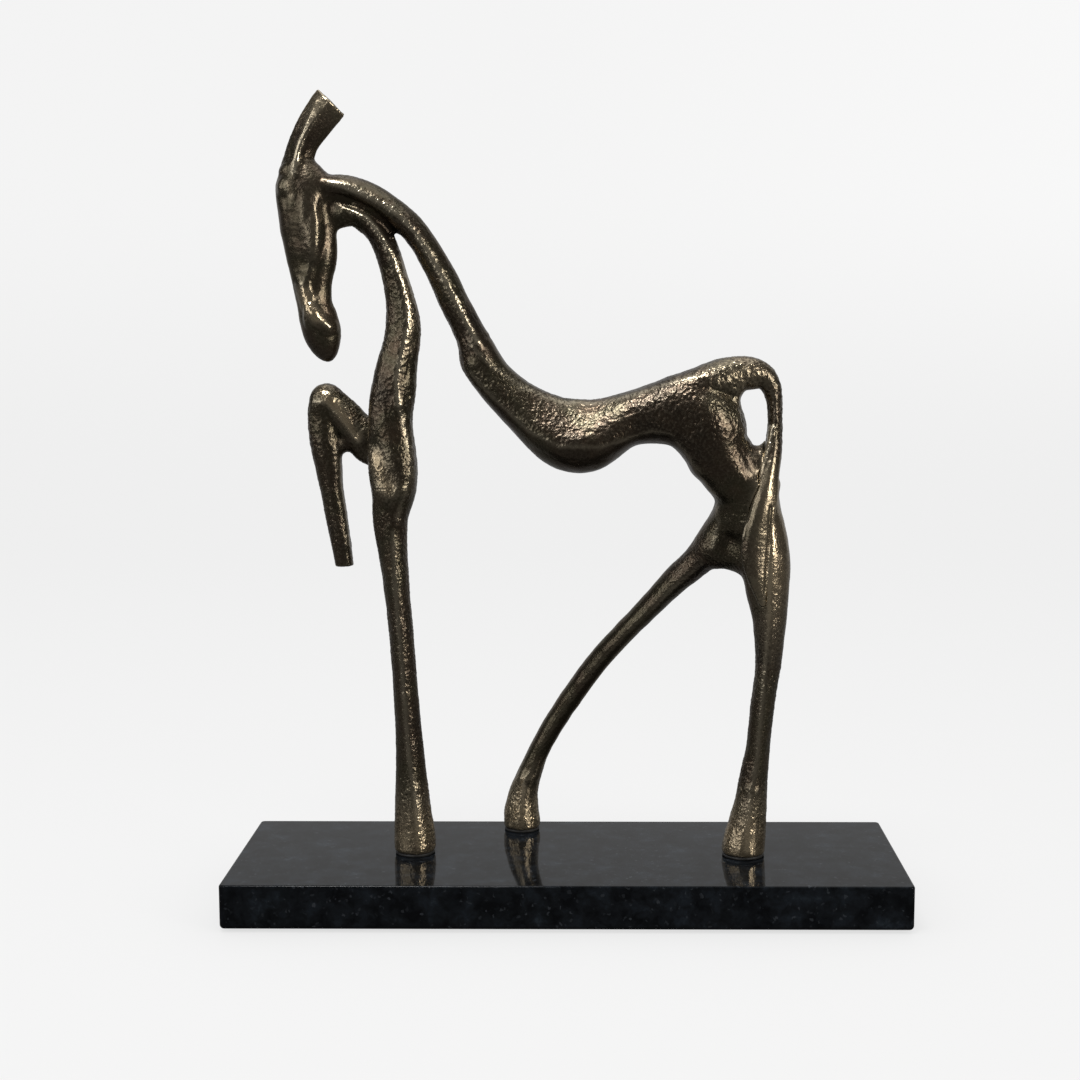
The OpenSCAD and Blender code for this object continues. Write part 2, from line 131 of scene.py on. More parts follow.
def window(lo, hi):
    a = np.maximum(np.floor((lo - LO) / H).astype(int), 0)
    b = np.minimum(np.ceil((hi - LO) / H).astype(int) + 1, DIM)
    return tuple(slice(a[i], b[i]) for i in range(3))


def limb(rows, reach=5.0, step=1.1):
    """Signed distance of a limb, in a window of the grid."""
    S = stations(rows, step)
    T = np.gradient(S[:, :3], axis=0)
    T /= np.linalg.norm(T, axis=1)[:, None]
    U = np.array([0, 1.0, 0]) - T[:, 1:2] * T
    U /= np.linalg.norm(U, axis=1)[:, None]
    V = np.cross(T, U)
    half = np.maximum(S[:, 3], S[:, 4])[:, None] / 2 + reach
    box = window((S[:, :3] - half).min(0), (S[:, :3] + half).max(0))
    L = np.full([b.stop - b.start for b in box], 30.0, np.float32)
    for s, t, u, v, r in zip(S, T, U, V, half[:, 0]):
        w = window(s[:3] - r, s[:3] + r)
        q = [(AX[i][w[i]] - s[i]).astype(np.float32) for i in range(3)]

        def along(e):
            return (q[0] * np.float32(e[0]))[:, None, None] + (q[1] * np.float32(e[1]))[None, :, None] + (q[2] * np.float32(e[2]))[None, None, :]

        a, b, p = s[3] / 2, s[4] / 2, s[5]
        pv, pu, pt = along(v) / a, along(u), along(t)
        bw = b * (1 + s[6] * np.clip(pv, -1, 1)) if s[6] else b
        pu2 = pu / bw
        if abs(p - 2) < 0.01:
            k2 = pv * pv + pu2 * pu2
        else:
            k2 = (np.abs(pv) ** p + np.abs(pu2) ** p) ** (2 / p)
        K = np.sqrt(k2 + (pt / (0.75 * min(a, b))) ** 2) + 1e-4
        R = np.sqrt((pv * a) ** 2 + pu * pu + pt * pt) + 1e-3
        D = (R * (1 - 1 / K)).astype(np.float32)
        sub = tuple(slice(w[i].start - box[i].start, w[i].stop - box[i].start) for i in range(3))
        np.minimum(L[sub], D, out=L[sub])
    return box, L


def step01(x, a, b):
    t = np.clip((x - a) / (b - a), 0, 1)
    return t * t * (3 - 2 * t)


def smin(a, b, k):
    h = np.clip(0.5 + 0.5 * (b - a) / k, 0, 1)
    return b + (a - b) * h - k * h * (1 - h)


def merge(F, part, k):
    box, L = part
    F[box] = smin(F[box], L, k)


def blob(F, c, r, k):
    """Blends in an ellipsoid, or scoops one out when k is negative."""
    c, r = np.array(c, float), np.array(r, float)
    w = window(c - r - 5, c + r + 5)
    q = [((AX[i][w[i]] - c[i])).astype(np.float32) for i in range(3)]
    X, Y, Z = q[0][:, None, None], q[1][None, :, None], q[2][None, None, :]
    K = np.sqrt((X / r[0]) ** 2 + (Y / r[1]) ** 2 + (Z / r[2]) ** 2) + 1e-4
    D = np.sqrt(X * X + Y * Y + Z * Z) * (1 - 1 / K)
    F[w] = smin(F[w], D, k) if k > 0 else -smin(-F[w], D, -k)


def half_space(F, point, normal, k=0.3, region=None):
    """Keeps the side of a plane that the normal points away from."""
    n = np.array(normal, float)
    n /= np.linalg.norm(n)
    w = window(np.array(region[0], float), np.array(region[1], float)) if region else tuple(slice(0, d) for d in DIM)
    q = [((AX[i][w[i]] - point[i]) * n[i]).astype(np.float32) for i in range(3)]
    D = q[0][:, None, None] + q[1][None, :, None] + q[2][None, None, :]
    F[w] = -smin(-F[w], -D, k)


def grid_at(F, P):
    """Trilinear value of F at points in millimetres."""
    g = (P - LO) / H
    i = np.clip(np.floor(g).astype(int), 0, DIM - 2)
    f = g - i
    out = 0
    for dx in (0, 1):
        for dy in (0, 1):
            for dz in (0, 1):
                w = (f[:, 0] if dx else 1 - f[:, 0]) * (f[:, 1] if dy else 1 - f[:, 1]) * (f[:, 2] if dz else 1 - f[:, 2])
                out = out + w * F[i[:, 0] + dx, i[:, 1] + dy, i[:, 2] + dz]
    return out


def gradient_at(F, P, e=0.5):
    g = np.stack([grid_at(F, P + np.eye(3)[k] * e) - grid_at(F, P - np.eye(3)[k] * e) for k in range(3)], axis=1)
    return g / (np.linalg.norm(g, axis=1)[:, None] + 1e-9)


def surface(F):
    """Quads of the surface F = 0, by naive surface nets."""
    s = F < 0
    count = np.zeros([d - 1 for d in F.shape], np.int8)
    for dx in (0, 1):
        for dy in (0, 1):
            for dz in (0, 1):
                count += s[dx : dx + count.shape[0], dy : dy + count.shape[1], dz : dz + count.shape[2]]
    cell = np.argwhere((count > 0) & (count < 8))
    index = np.full(count.shape, -1, np.int32)
    index[tuple(cell.T)] = np.arange(len(cell))
    P, n = np.zeros((len(cell), 3)), np.zeros(len(cell))
    corners = [(0, 0, 0), (1, 0, 0), (0, 1, 0), (1, 1, 0), (0, 0, 1), (1, 0, 1), (0, 1, 1), (1, 1, 1)]
    for a in range(8):
        for b in range(a + 1, 8):
            ca, cb = np.array(corners[a]), np.array(corners[b])
            if np.abs(ca - cb).sum() != 1:
                continue
            fa, fb = F[tuple((cell + ca).T)], F[tuple((cell + cb).T)]
            hit = (fa < 0) != (fb < 0)
            t = fa[hit] / (fa[hit] - fb[hit])
            P[hit] += cell[hit] + ca + t[:, None] * (cb - ca)
            n[hit] += 1
    P = LO + H * P / n[:, None]
    quads = []
    for k in range(3):
        e = np.eye(3, dtype=int)[k]
        u, v = np.eye(3, dtype=int)[(k + 1) % 3], np.eye(3, dtype=int)[(k + 2) % 3]
        A = s[: F.shape[0] - e[0], : F.shape[1] - e[1], : F.shape[2] - e[2]]
        B = s[e[0] :, e[1] :, e[2] :]
        for inside, flip in ((A & ~B, False), (~A & B, True)):
            at = np.argwhere(inside)
            at = at[(at[:, (k + 1) % 3] > 0) & (at[:, (k + 2) % 3] > 0)]
            ring = [at - u - v, at - v, at, at - u]
            q = np.stack([index[tuple(r.T)] for r in ring], axis=1)
            quads.append(q[:, ::-1] if flip else q)
    Q = np.concatenate(quads)
    return P, Q


def pinched(P, Q):
    """Middles of edges that more or fewer than two quads share."""
    E = np.concatenate([Q[:, [0, 1]], Q[:, [1, 2]], Q[:, [2, 3]], Q[:, [3, 0]]]).astype(np.int64)
    E.sort(axis=1)
    key, count = np.unique(E[:, 0] * len(P) + E[:, 1], return_counts=True)
    key = key[count != 2]
    return (P[key // len(P)] + P[key % len(P)]) / 2


def clean_surface(F):
    """The surface of F, with the field eased where the surface would pinch itself."""
    for _ in range(8):
        P, Q = surface(F)
        bad = pinched(P, Q)
        if not len(bad):
            break
        for p in bad:
            c = np.round((p - LO) / H).astype(int)
            lo, hi = c - 2, c + 3
            blk = F[tuple(slice(a - 1, b + 1) for a, b in zip(lo, hi))]
            new = sum(blk[1 + i : blk.shape[0] - 1 + i, 1 + j : blk.shape[1] - 1 + j, 1 + k : blk.shape[2] - 1 + k]
                      for i in (-1, 0, 1) for j in (-1, 0, 1) for k in (-1, 0, 1)) / 27
            F[tuple(slice(a, b) for a, b in zip(lo, hi))] = new - 0.02
    print("pinched edges left", len(bad))
    return P, Q


def settle(F, P, Q, rounds=2, ease=0.5):
    """Evens the quads out along the surface and puts them back on it."""
    E = np.concatenate([Q[:, [0, 1]], Q[:, [1, 2]], Q[:, [2, 3]], Q[:, [3, 0]]])
    deg = np.bincount(E[:, 0], minlength=len(P)) + np.bincount(E[:, 1], minlength=len(P))
    for _ in range(rounds):
        M = np.zeros_like(P)
        for k in range(3):
            M[:, k] = np.bincount(E[:, 0], P[E[:, 1], k], len(P)) + np.bincount(E[:, 1], P[E[:, 0], k], len(P))
        M = M / deg[:, None] - P
        N = gradient_at(F, P)
        P = P + ease * (M - (M * N).sum(1)[:, None] * N)
        P = P - np.clip(grid_at(F, P), -0.4, 0.4)[:, None] * gradient_at(F, P)
    return P


# ------------------------------------------------------------------ the horse as one surface, and the tail as another
FIELD = np.full(DIM, 30.0, np.float32)
merge(FIELD, limb(BACK), 1.0)
merge(FIELD, limb(CROUP), 1.2)
merge(FIELD, limb(WEB), 3.0)
merge(FIELD, limb(CREST), 1.2)
merge(FIELD, limb(HEAD), 3.0)
merge(FIELD, limb(THROAT), 1.6)
blob(FIELD, (-84, 0, 311.5), (12, 3.6, 7), 2.0)
merge(FIELD, limb(RAISED), 1.6)
blob(FIELD, (-110.3, 10, 231.3), (7.6, 5.8, 7.2), 2.0)
blob(FIELD, (-102.8, 10, 210.5), (2.6, 4, 3.6), 3.0)
merge(FIELD, limb(FAR), 5.0)
merge(FIELD, limb(NEAR, step=0.8), 5.0)
# Webs in the crotch, at the tail's root and foot, at the stifle and behind the jaw
blob(FIELD, (74, 6.5, 161.6), (12, 6.5, 8.0), 6.0)
blob(FIELD, (82, 3, 161), (8, 7, 9), 6.0)
blob(FIELD, (74.6, 0, 236), (4, 6.5, 4), 3.5)
blob(FIELD, (74.2, 0, 230.5), (3, 6, 5), 3.0)
blob(FIELD, (90, -1, 206), (3.5, 5, 5), 3.0)
blob(FIELD, (86.5, -1, 203), (7, 6, 6.5), 4.0)
blob(FIELD, (80.4, 0, 211.4), (2.0, 5, 2.6), 2.6)
blob(FIELD, (90.2, -0.6, 211), (1.8, 4.4, 2.6), 2.6)
blob(FIELD, (61, 1, 201.5), (5.2, 9, 5), 3.0)
blob(FIELD, (-101.5, 0, 312.4), (5, 3.2, 4.6), 4.0)
# Cheeks, brows, nostrils and the hollow behind the jaw, the same on both sides
for side in (-1, 1):
    blob(FIELD, (-112.2, side * 5.6, 306), (4.2, 3.6, 13.5), 2.0)
    blob(FIELD, (-123.2, side * 4.4, 325.5), (4.5, 3.2, 4.2), 2.2)
    blob(FIELD, (-113.8, side * 5.2, 268.5), (3.6, 2.4, 6.0), 2.0)
    blob(FIELD, (-104.5, side * 9.5, 315.5), (5.5, 4.2, 5.0), -2.5)
ears = np.full(DIM, 30.0, np.float32)
merge(ears, limb(EARS, step=0.6), 0.5)
half_space(ears, (-109.9, 0, 368.2), (10.3, 0, 10.6), 0.5, ((-134, -20, 340), (-80, 20, 376)))
w = window(np.array([-134.0, -22, 308]), np.array([-80.0, 22, 376]))
FIELD[w] = smin(FIELD[w], ears[w], 1.2)
del ears
w = window(np.array([-48.0, -26, 190]), np.array([62.0, 26, 262]))
B = FIELD[w].copy()
for _ in range(10):
    for ax in range(3):
        B = 0.5 * B + 0.25 * (np.roll(B, 1, ax) + np.roll(B, -1, ax))
t = (step01(AX[0][w[0]], -44, -34) * (1 - step01(AX[0][w[0]], 44, 58)))[:, None, None] * (step01(AX[2][w[2]], 194, 200) * (1 - step01(AX[2][w[2]], 256, 261)))[None, None, :]
FIELD[w] = FIELD[w] * (1 - t) + (B - 0.45) * t
half_space(FIELD, (-103.5, 10, 154.4), (0.04, 0, -1), 0.5, ((-112, 0, 140), (-94, 22, 162)))
PAD_TOP = 23.0
half_space(FIELD, (0, 0, PAD_TOP + 0.05), (0, 0, -1), 1.2)
TAILF = np.full(DIM, 30.0, np.float32)
merge(TAILF, limb(TAIL, step=0.5), 0.5)
# The rump runs into the root of the tail, so both surfaces are one there
w = window(np.array([70.0, -24, 227.0]), np.array([107.0, 24, 262]))
FIELD[w] = smin(FIELD[w], TAILF[w], 1.4)
t = step01(AX[0][w[0]], 82, 91)[:, None, None]
TAILF[w] = (1 - t) * FIELD[w] + t * TAILF[w]
# The thigh is let in to take the tail's leaf
w = window(np.array([60.0, -24, 130]), np.array([104.0, 20, 214]))
FIELD[w] = -smin(-FIELD[w], TAILF[w] - 0.12, 0.25)

P0, Q0 = clean_surface(FIELD)
P0 = settle(FIELD, P0, Q0)
P1, Q1 = clean_surface(TAILF)
P1 = settle(TAILF, P1, Q1)
print("horse", len(P0), "tail", len(P1))


# ------------------------------------------------------------------ noise
def hash3(i, seed):
    x = (i[..., 0].astype(np.uint32) * np.uint32(374761393) + i[..., 1].astype(np.uint32) * np.uint32(668265263)
         + i[..., 2].astype(np.uint32) * np.uint32(2246822519) + np.uint32(seed * 974711 + 12345))
    x = (x ^ (x >> np.uint32(13))) * np.uint32(1274126177)
    x = x ^ (x >> np.uint32(16))
    x = (x * np.uint32(2654435761)) ^ (x >> np.uint32(11))
    return (x & np.uint32(0xFFFFFF)).astype(np.float64) / 0xFFFFFF


TURN = np.array([[0.4109, -0.6201, 0.6683], [0.8704, 0.0536, -0.4894], [0.2676, 0.7827, 0.5603]])


def noise(P, scale, seed=0):
    """Smooth value noise, -1 to 1, with features about scale millimetres wide."""
    g = P @ TURN / scale + 1000.0
    i = np.floor(g).astype(np.int64)
    f = g - i
    f = f * f * f * (f * (f * 6 - 15) + 10)
    out = 0
    for dx in (0, 1):
        for dy in (0, 1):
            for dz in (0, 1):
                w = (f[:, 0] if dx else 1 - f[:, 0]) * (f[:, 1] if dy else 1 - f[:, 1]) * (f[:, 2] if dz else 1 - f[:, 2])
                out = out + w * hash3(i + np.array([dx, dy, dz]), seed)
    return out * 2 - 1


def cells(P, scale, seed=0):
    """Distance to the nearest and next scattered point, in units of scale."""
    g = P @ TURN.T / scale + 1000.0
    i = np.floor(g).astype(np.int64)
    d1 = np.full(len(P), 9.0)
    d2 = np.full(len(P), 9.0)
    for dx in (-1, 0, 1):
        for dy in (-1, 0, 1):
            for dz in (-1, 0, 1):
                j = i + np.array([dx, dy, dz])
                c = np.stack([hash3(j, seed), hash3(j, seed + 7), hash3(j, seed + 19)], axis=1)
                d = np.sqrt(((j + c - g) ** 2).sum(1))
                far = np.maximum(d1, d)
                d1 = np.minimum(d1, d)
                d2 = np.minimum(d2, far)
    return d1, d2


def make_mesh(name, P, faces):
    m = bpy.data.meshes.new(name)
    faces = np.asarray(faces)
    m.vertices.add(len(P))
    m.vertices.foreach_set("co", np.ascontiguousarray(P, np.float32).ravel())
    m.loops.add(faces.size)
    m.loops.foreach_set("vertex_index", faces.astype(np.int32).ravel())
    m.polygons.add(len(faces))
    m.polygons.foreach_set("loop_start", np.arange(0, faces.size, faces.shape[1], dtype=np.int32))
    m.update(calc_edges=True)
    m.validate()
    return m


def coords(m):
    a = np.empty(len(m.vertices) * 3, np.float32)
    m.vertices.foreach_get("co", a)
    return a.reshape(-1, 3).astype(float)


def normals(m):
    a = np.empty(len(m.vertices) * 3, np.float32)
    m.vertex_normals.foreach_get("vector", a)
    return a.reshape(-1, 3).astype(float)


def add_object(name, m):
    o = bpy.data.objects.new(name, m)
    scene.collection.objects.link(o)
    return o


def subdivided(F, P, Q):
    """Splits each quad in four and settles the new points on the surface."""
    E = np.concatenate([Q[:, [0, 1]], Q[:, [1, 2]], Q[:, [2, 3]], Q[:, [3, 0]]]).astype(np.int64)
    E.sort(axis=1)
    key = E[:, 0] * len(P) + E[:, 1]
    uniq, back = np.unique(key, return_inverse=True)
    A, B = uniq // len(P), uniq % len(P)
    mid = (P[A] + P[B]) / 2
    centre = P[Q].mean(axis=1)
    n = len(Q)
    m = [len(P) + back[i * n : (i + 1) * n] for i in range(4)]
    c = len(P) + len(uniq) + np.arange(n)
    P = np.concatenate([P, mid, centre])
    Q = np.concatenate([np.stack([Q[:, i], m[i], c, m[i - 1]], axis=1) for i in range(4)])
    return settle(F, P, Q, 1, 0.35), Q


# Ridges and hollows that the modeller's knife left, as (x, z) lines seen from the side: height in mm, half width in mm, how they fade
LINES = [
    ([(-104.5, 327), (-98, 325.5), (-89.2, 321.8), (-80.4, 317.2), (-73.8, 312.6), (-66.9, 305), (-60.8, 295.7), (-55.1, 285.6), (-49.9, 275.9), (-45.1, 266.2), (-40.2, 257.4)], 0.85, 4.2, 1.0),
    ([(-103, 319.5), (-96, 318.3), (-88, 314.6), (-81, 309), (-77.5, 304)], -1.7, 4.6, 0),
    ([(-94, 315), (-88, 311.8), (-81.9, 303.1), (-77.6, 294.4), (-73.6, 284.7), (-71.4, 275.9), (-71, 264.9), (-73.7, 253.9), (-76.6, 240.5), (-75.8, 229.4)], 0.8, 4.0, 1.0),
    ([(-75.8, 229.4), (-74.7, 225), (-73, 217), (-70.6, 207), (-70.6, 197), (-74.3, 187), (-77.1, 178)], 0.75, 4.8, 0.35),
    ([(-87, 211), (-83, 204), (-80, 197)], -1.3, 7.0, 0),
    ([(-85, 190.5), (-79.5, 187), (-75.5, 190)], 0.9, 5.0, 0),
    ([(-43, 244.3), (-35.1, 235.2), (-27.6, 228.2), (-16.5, 218), (-3.2, 211.7), (14.6, 211.3), (28, 215.5), (38, 218.6), (46, 217), (53.7, 209), (60.4, 198.2), (67, 188.5), (69.1, 176), (66, 164)], 0.95, 6.0, 0.3),
    ([(-42.9, 256.2), (-34.1, 246.9), (-20.9, 237.2), (-3.2, 230.2), (14.6, 229.8), (32.3, 234.5), (49.9, 240.2), (62, 243)], 0.6, 7.0, 0.35),
    ([(78.5, 238), (76.4, 232), (76.8, 222), (79.6, 212), (83, 206.5)], 0.55, 2.6, 0.3),
    ([(-109.3, 363.4), (-114.6, 352.4), (-118.7, 341.5), (-120.7, 331.6)], 0.7, 3.2, 1.0),
    ([(-118.6, 322), (-120, 313), (-119.6, 302), (-117.2, 292)], -0.5, 4.6, 0),
    ([(-108.2, 322), (-106.6, 313), (-107.8, 301), (-111, 290), (-113, 281)], -0.65, 3.8, 0),
    ([(-118, 283), (-115.6, 274), (-111.5, 268), (-106.3, 264.2)], 1.15, 4.0, 0.8),
    ([(-114.5, 230), (-109.5, 230.4), (-102.8, 224.2), (-95, 213.2)], 1.0, 6.0, 0.6),
    ([(-105.6, 209), (-104.6, 194.7), (-102.6, 181), (-101.2, 164.8)], 0.6, 3.0, 0.35),
    ([(91.4, 172), (91, 150), (90.6, 128), (88.5, 96), (86.5, 70), (84.2, 54)], 0.55, 4.2, 0.4),
    ([(-79, 172), (-78, 148), (-75.5, 110), (-73, 70), (-71, 54)], 0.5, 4.2, 0.4),
    ([(61.3, 156.2), (47.4, 143), (33.5, 125.4), (19.5, 106.4), (7.7, 89.6), (-4.1, 70.3), (-13.6, 53.4), (-18, 48)], 0.5, 4.0, 0.25),
    # Planished faces round the hooves
    ([(-70.4, 52), (-69, 38), (-68.6, 26)], 0.7, 4.8, 0.6),
    ([(83.6, 52), (82.4, 38), (82.2, 26)], 0.7, 5.0, 0.6),
    ([(-21.6, 48), (-22.4, 36), (-22.6, 26)], 0.7, 4.6, 0.6),
]
TAIL_LINES = [
    ([(92, 219), (90.3, 210), (87.4, 203), (83.9, 195), (81, 187), (79, 179), (77.8, 170)], 1.0, 1.5, 1.0),
    ([(91, 184), (90.2, 172), (89.6, 160), (88.8, 146)], -0.5, 1.3, 0),
]


def line_distance(P, line):
    """Distance in the XZ plane from points to a line of straight runs."""
    q = P[:, [0, 2]]
    best = np.full(len(P), 99.0)
    for a, b in zip(np.array(line[:-1], float), np.array(line[1:], float)):
        ab = b - a
        t = np.clip(((q - a) @ ab) / (ab @ ab), 0, 1)
        best = np.minimum(best, np.hypot(*(q - a - t[:, None] * ab).T))
    return best


def carve(m, lines):
    """Raises ridges and sinks hollows on the faces that look sideways, and returns how near each point is to a ridge's crown."""
    P, N = coords(m), normals(m)
    side = step01(np.abs(N[:, 1]), 0.15, 0.6)
    crown = np.zeros(len(P))
    D = np.zeros(len(P))
    wav = noise(P, 6.0, 71) * 0.5 + noise(P, 2.4, 72) * 0.35
    for line, height, width, worn in lines:
        L = np.array(line)
        box = (P[:, 0] > L[:, 0].min() - width - 1) & (P[:, 0] < L[:, 0].max() + width + 1) & (P[:, 2] > L[:, 1].min() - width - 1) & (P[:, 2] < L[:, 1].max() + width + 1)
        at = np.nonzero(box)[0]
        d = np.maximum(line_distance(P[at], line) + wav[at] * (0.5 if height > 0 else 0.2), 0)
        if height > 0:
            soft = 0.3 + 1.2 * (1 - worn)
            D[at] += height * np.maximum(0, 1 - (np.sqrt(d * d + soft * soft) - 0.5 * soft) / width) * side[at]
            crown[at] = np.maximum(crown[at], worn * np.exp(-((d / 0.9) ** 2)) * side[at])
        else:
            D[at] += height * np.exp(-((d / (0.6 * width)) ** 2)) * side[at]
    P = P + N * D[:, None]
    m.vertices.foreach_set("co", P.astype(np.float32).ravel())
    m.update()
    return crown


def cast_skin(m, lines, seed=0, amount=1.0):
    """The rough skin that the casting keeps: soft hand-worked hollows, hammer-like dimples, wrinkles and pits. Stores
    how worn and how hollow each point is; the worn mask also carries painted highlights at the nose, the poll, the
    shoulder facet and the forearm.
    """
    crown = carve(m, lines)
    P, N = coords(m), normals(m)
    x, z = P[:, 0], P[:, 2]
    flat = step01(z, PAD_TOP + 0.15, PAD_TOP + 1.2)
    warp = np.stack([noise(P, 3.0, seed + 50 + k) for k in range(3)], axis=1)
    wide = noise(P, 12.0, seed + 1) * 0.12 + noise(P, 5.0, seed + 2) * 0.13
    d1, d2 = cells(P + warp * 0.8, 2.3, seed + 3)
    dimple = np.clip(d1 / 0.62, 0, 1) ** 2
    e1, e2 = cells(P * np.array([1.0, 1.0, 0.72]) + warp * 0.5, 1.25, seed + 4)
    crinkle = np.clip((e2 - e1) * 1.7, 0, 1)
    fine = noise(P + warp * 0.4, 1.0, seed + 5) * 0.5 + noise(P, 0.62, seed + 6) * 0.3
    rough = 0.55 + 0.45 * step01(noise(P, 17.0, seed + 8) + 0.5 * noise(P, 7.0, seed + 9), -0.6, 0.3)
    # Smoother bands: along the top of the back, the belly's bevel, the far leg, the front of the face and the muzzle
    trunk = step01(x, -46, -38) * (1 - step01(x, 60, 72)) * step01(z, 186, 194)
    over = np.interp(x, [-43, -34, -21, -3, 15, 32, 50, 64], [256, 247, 237, 230.5, 230, 234.5, 240.7, 245])
    under = np.interp(x, [-43, -35, -27.6, -16.5, -3.2, 14.6, 32.3, 44.7, 53.7, 60.4, 69], [244, 234.6, 229.4, 218.2, 211.5, 211.1, 217, 219, 210.6, 198.2, 187.5])
    calm = trunk * np.maximum(step01(z - over, 1.0, 5.0), step01(under - z, -0.5, 2.5))
    calm = np.maximum(calm, step01(P[:, 1], 12, 17) * (1 - step01(x, 60, 72)) * step01(z, 42, 58))
    calm = np.maximum(calm, (1 - step01(x, -121, -115)) * step01(z, 262, 275) * (1 - step01(z, 318, 328)))
    calm = np.maximum(calm, (1 - step01(x, -104, -100)) * (1 - step01(z, 262, 272)) * step01(z, 246, 250))
    calm = np.maximum(calm, 0.9 * step01(N[:, 2] + 0.4 * N[:, 0], 0.55, 0.85) * step01(z, 246, 262) * (1 - step01(z, 326, 334)))
    rough = rough * (1 - 0.72 * calm)
    pits = step01(0.33 - e1, 0.0, 0.22) * step01(noise(P, 6.0, seed + 10), 0.05, 0.5)
    fist = step01(z, 188, 214) * (1 - 0.5 * step01(z, 262, 300))
    # The head, the ears and the tail's leaf were smoothed in the wax
    wax = np.maximum(step01(z, 256, 268) * (1 - step01(x, -103, -97)), step01(x, 79, 82) * step01(z, 138, 150) * (1 - step01(z, 205, 214)))
    fist, rough = fist * (1 - 0.6 * wax), rough * (1 - 0.45 * wax)
    relief = rough * ((dimple - 0.5) * (0.09 + 0.12 * fist) + (crinkle - 0.5) * (0.15 - 0.01 * fist - 0.05 * wax) + fine * 0.10) - pits * (0.14 + 0.14 * rough) * (1 - 0.6 * wax)
    D = amount * flat * (wide + relief)
    P = P + N * D[:, None]
    P[:, 2] = np.minimum(P[:, 2], 368.2)
    m.vertices.foreach_set("co", P.astype(np.float32).ravel())
    m.update()
    E = np.empty(len(m.edges) * 2, np.int32)
    m.edges.foreach_get("vertices", E)
    E = E.reshape(-1, 2)
    deg = np.bincount(E.ravel(), minlength=len(P))
    M = np.zeros_like(P)
    for k in range(3):
        M[:, k] = np.bincount(E[:, 0], P[E[:, 1], k], len(P)) + np.bincount(E[:, 1], P[E[:, 0], k], len(P))
    bend = -((M / deg[:, None] - P) * normals(m)).sum(1)
    for _ in range(2):
        bend = 0.4 * bend + 0.6 * (np.bincount(E[:, 0], bend[E[:, 1]], len(P)) + np.bincount(E[:, 1], bend[E[:, 0]], len(P))) / deg
    peak = np.clip(0.5 + bend / 0.042 + 0.5 * crown, 0, 1)
    hoof = 1 - step01(P[:, 2], 30, 62)
    tip = step01(P[:, 2], 346, 364)
    rump = np.exp(-((P[:, 0] - 79) ** 2 + (P[:, 2] - 243) ** 2) / 180.0)
    thigh = np.exp(-((P[:, 0] - 93) ** 2) / 60.0) * step01(-P[:, 1], -4, 8) * step01(P[:, 2], 100, 140) * (1 - step01(P[:, 2], 190, 215))
    strip = np.exp(-((line_distance(P, [(-74.5, 294), (-71, 283), (-69.2, 272), (-68.8, 262), (-70.5, 254)]) / 1.8) ** 2))
    leaf = step01(x, 79, 84) * step01(z, 134, 150) * (1 - step01(z, 196, 214))
    cheek = np.exp(-(((x + 112.5) / 4.5) ** 2 + ((z - 308) / 15.0) ** 2))
    # Painted highlights: the nose, poll, facet and arm marks lay bright bare metal where the lights catch these faces.
    nose = np.exp(-((line_distance(P, [(-116.6, 279), (-114.5, 272), (-111.5, 268.5)]) / 3.2) ** 2))
    poll = np.exp(-((line_distance(P, [(-122.6, 327), (-121.6, 322.5)]) / 1.6) ** 2))
    facet = np.exp(-((line_distance(P, [(-86, 206), (-83.5, 198), (-80.5, 192)]) / 4.2) ** 2))
    arm = np.exp(-((line_distance(P, [(-112, 235.5), (-104, 227), (-95.5, 215)]) / 2.6) ** 2))
    hock = np.exp(-(((x - 80) ** 2 + (z - 206) ** 2) / 50.0)) * (1 - leaf)
    # The mask sums real wear (hooves, ear tip, rump, thigh, throat strip, leaf, cheek) and painted highlights (nose,
    # poll, shoulder facet, forearm).
    rub_and_highlight = np.clip((0.78 * hoof + 0.5 * tip + 0.5 * rump + 0.5 * thigh + 0.5 * strip + 0.2 * leaf + 0.35 * cheek) * (1 - 0.8 * hock) + 1.0 * nose + 0.6 * poll + 0.95 * facet + 0.9 * arm, 0, 1)
    for key, val in (("peak", peak), ("rub_and_highlight", rub_and_highlight), ("rough", rough), ("crown", crown)):
        a = m.attributes.new(key, "FLOAT", "POINT")
        a.data.foreach_set("value", val.astype(np.float32))


P0, Q0 = subdivided(FIELD, P0, Q0)
P1, Q1 = subdivided(TAILF, P1, Q1)
# The tail's leaf is rubbed smooth before its edge is cut
E1 = np.concatenate([Q1[:, [0, 1]], Q1[:, [1, 2]], Q1[:, [2, 3]], Q1[:, [3, 0]]])
share = 0.5 * (1 - step01(P1[:, 2], 200, 216))[:, None] / np.bincount(E1.ravel(), minlength=len(P1))[:, None]
for _ in range(6):
    pull = np.stack([np.bincount(E1[:, 0], P1[E1[:, 1], k] - P1[E1[:, 0], k], len(P1)) + np.bincount(E1[:, 1], P1[E1[:, 0], k] - P1[E1[:, 1], k], len(P1)) for k in range(3)], axis=1)
    P1 = P1 + share * pull
horse = make_mesh("horse", P0, Q0)
tail_mesh = make_mesh("tail_whole", P1, Q1)
cast_skin(horse, LINES)
cast_skin(tail_mesh, TAIL_LINES)


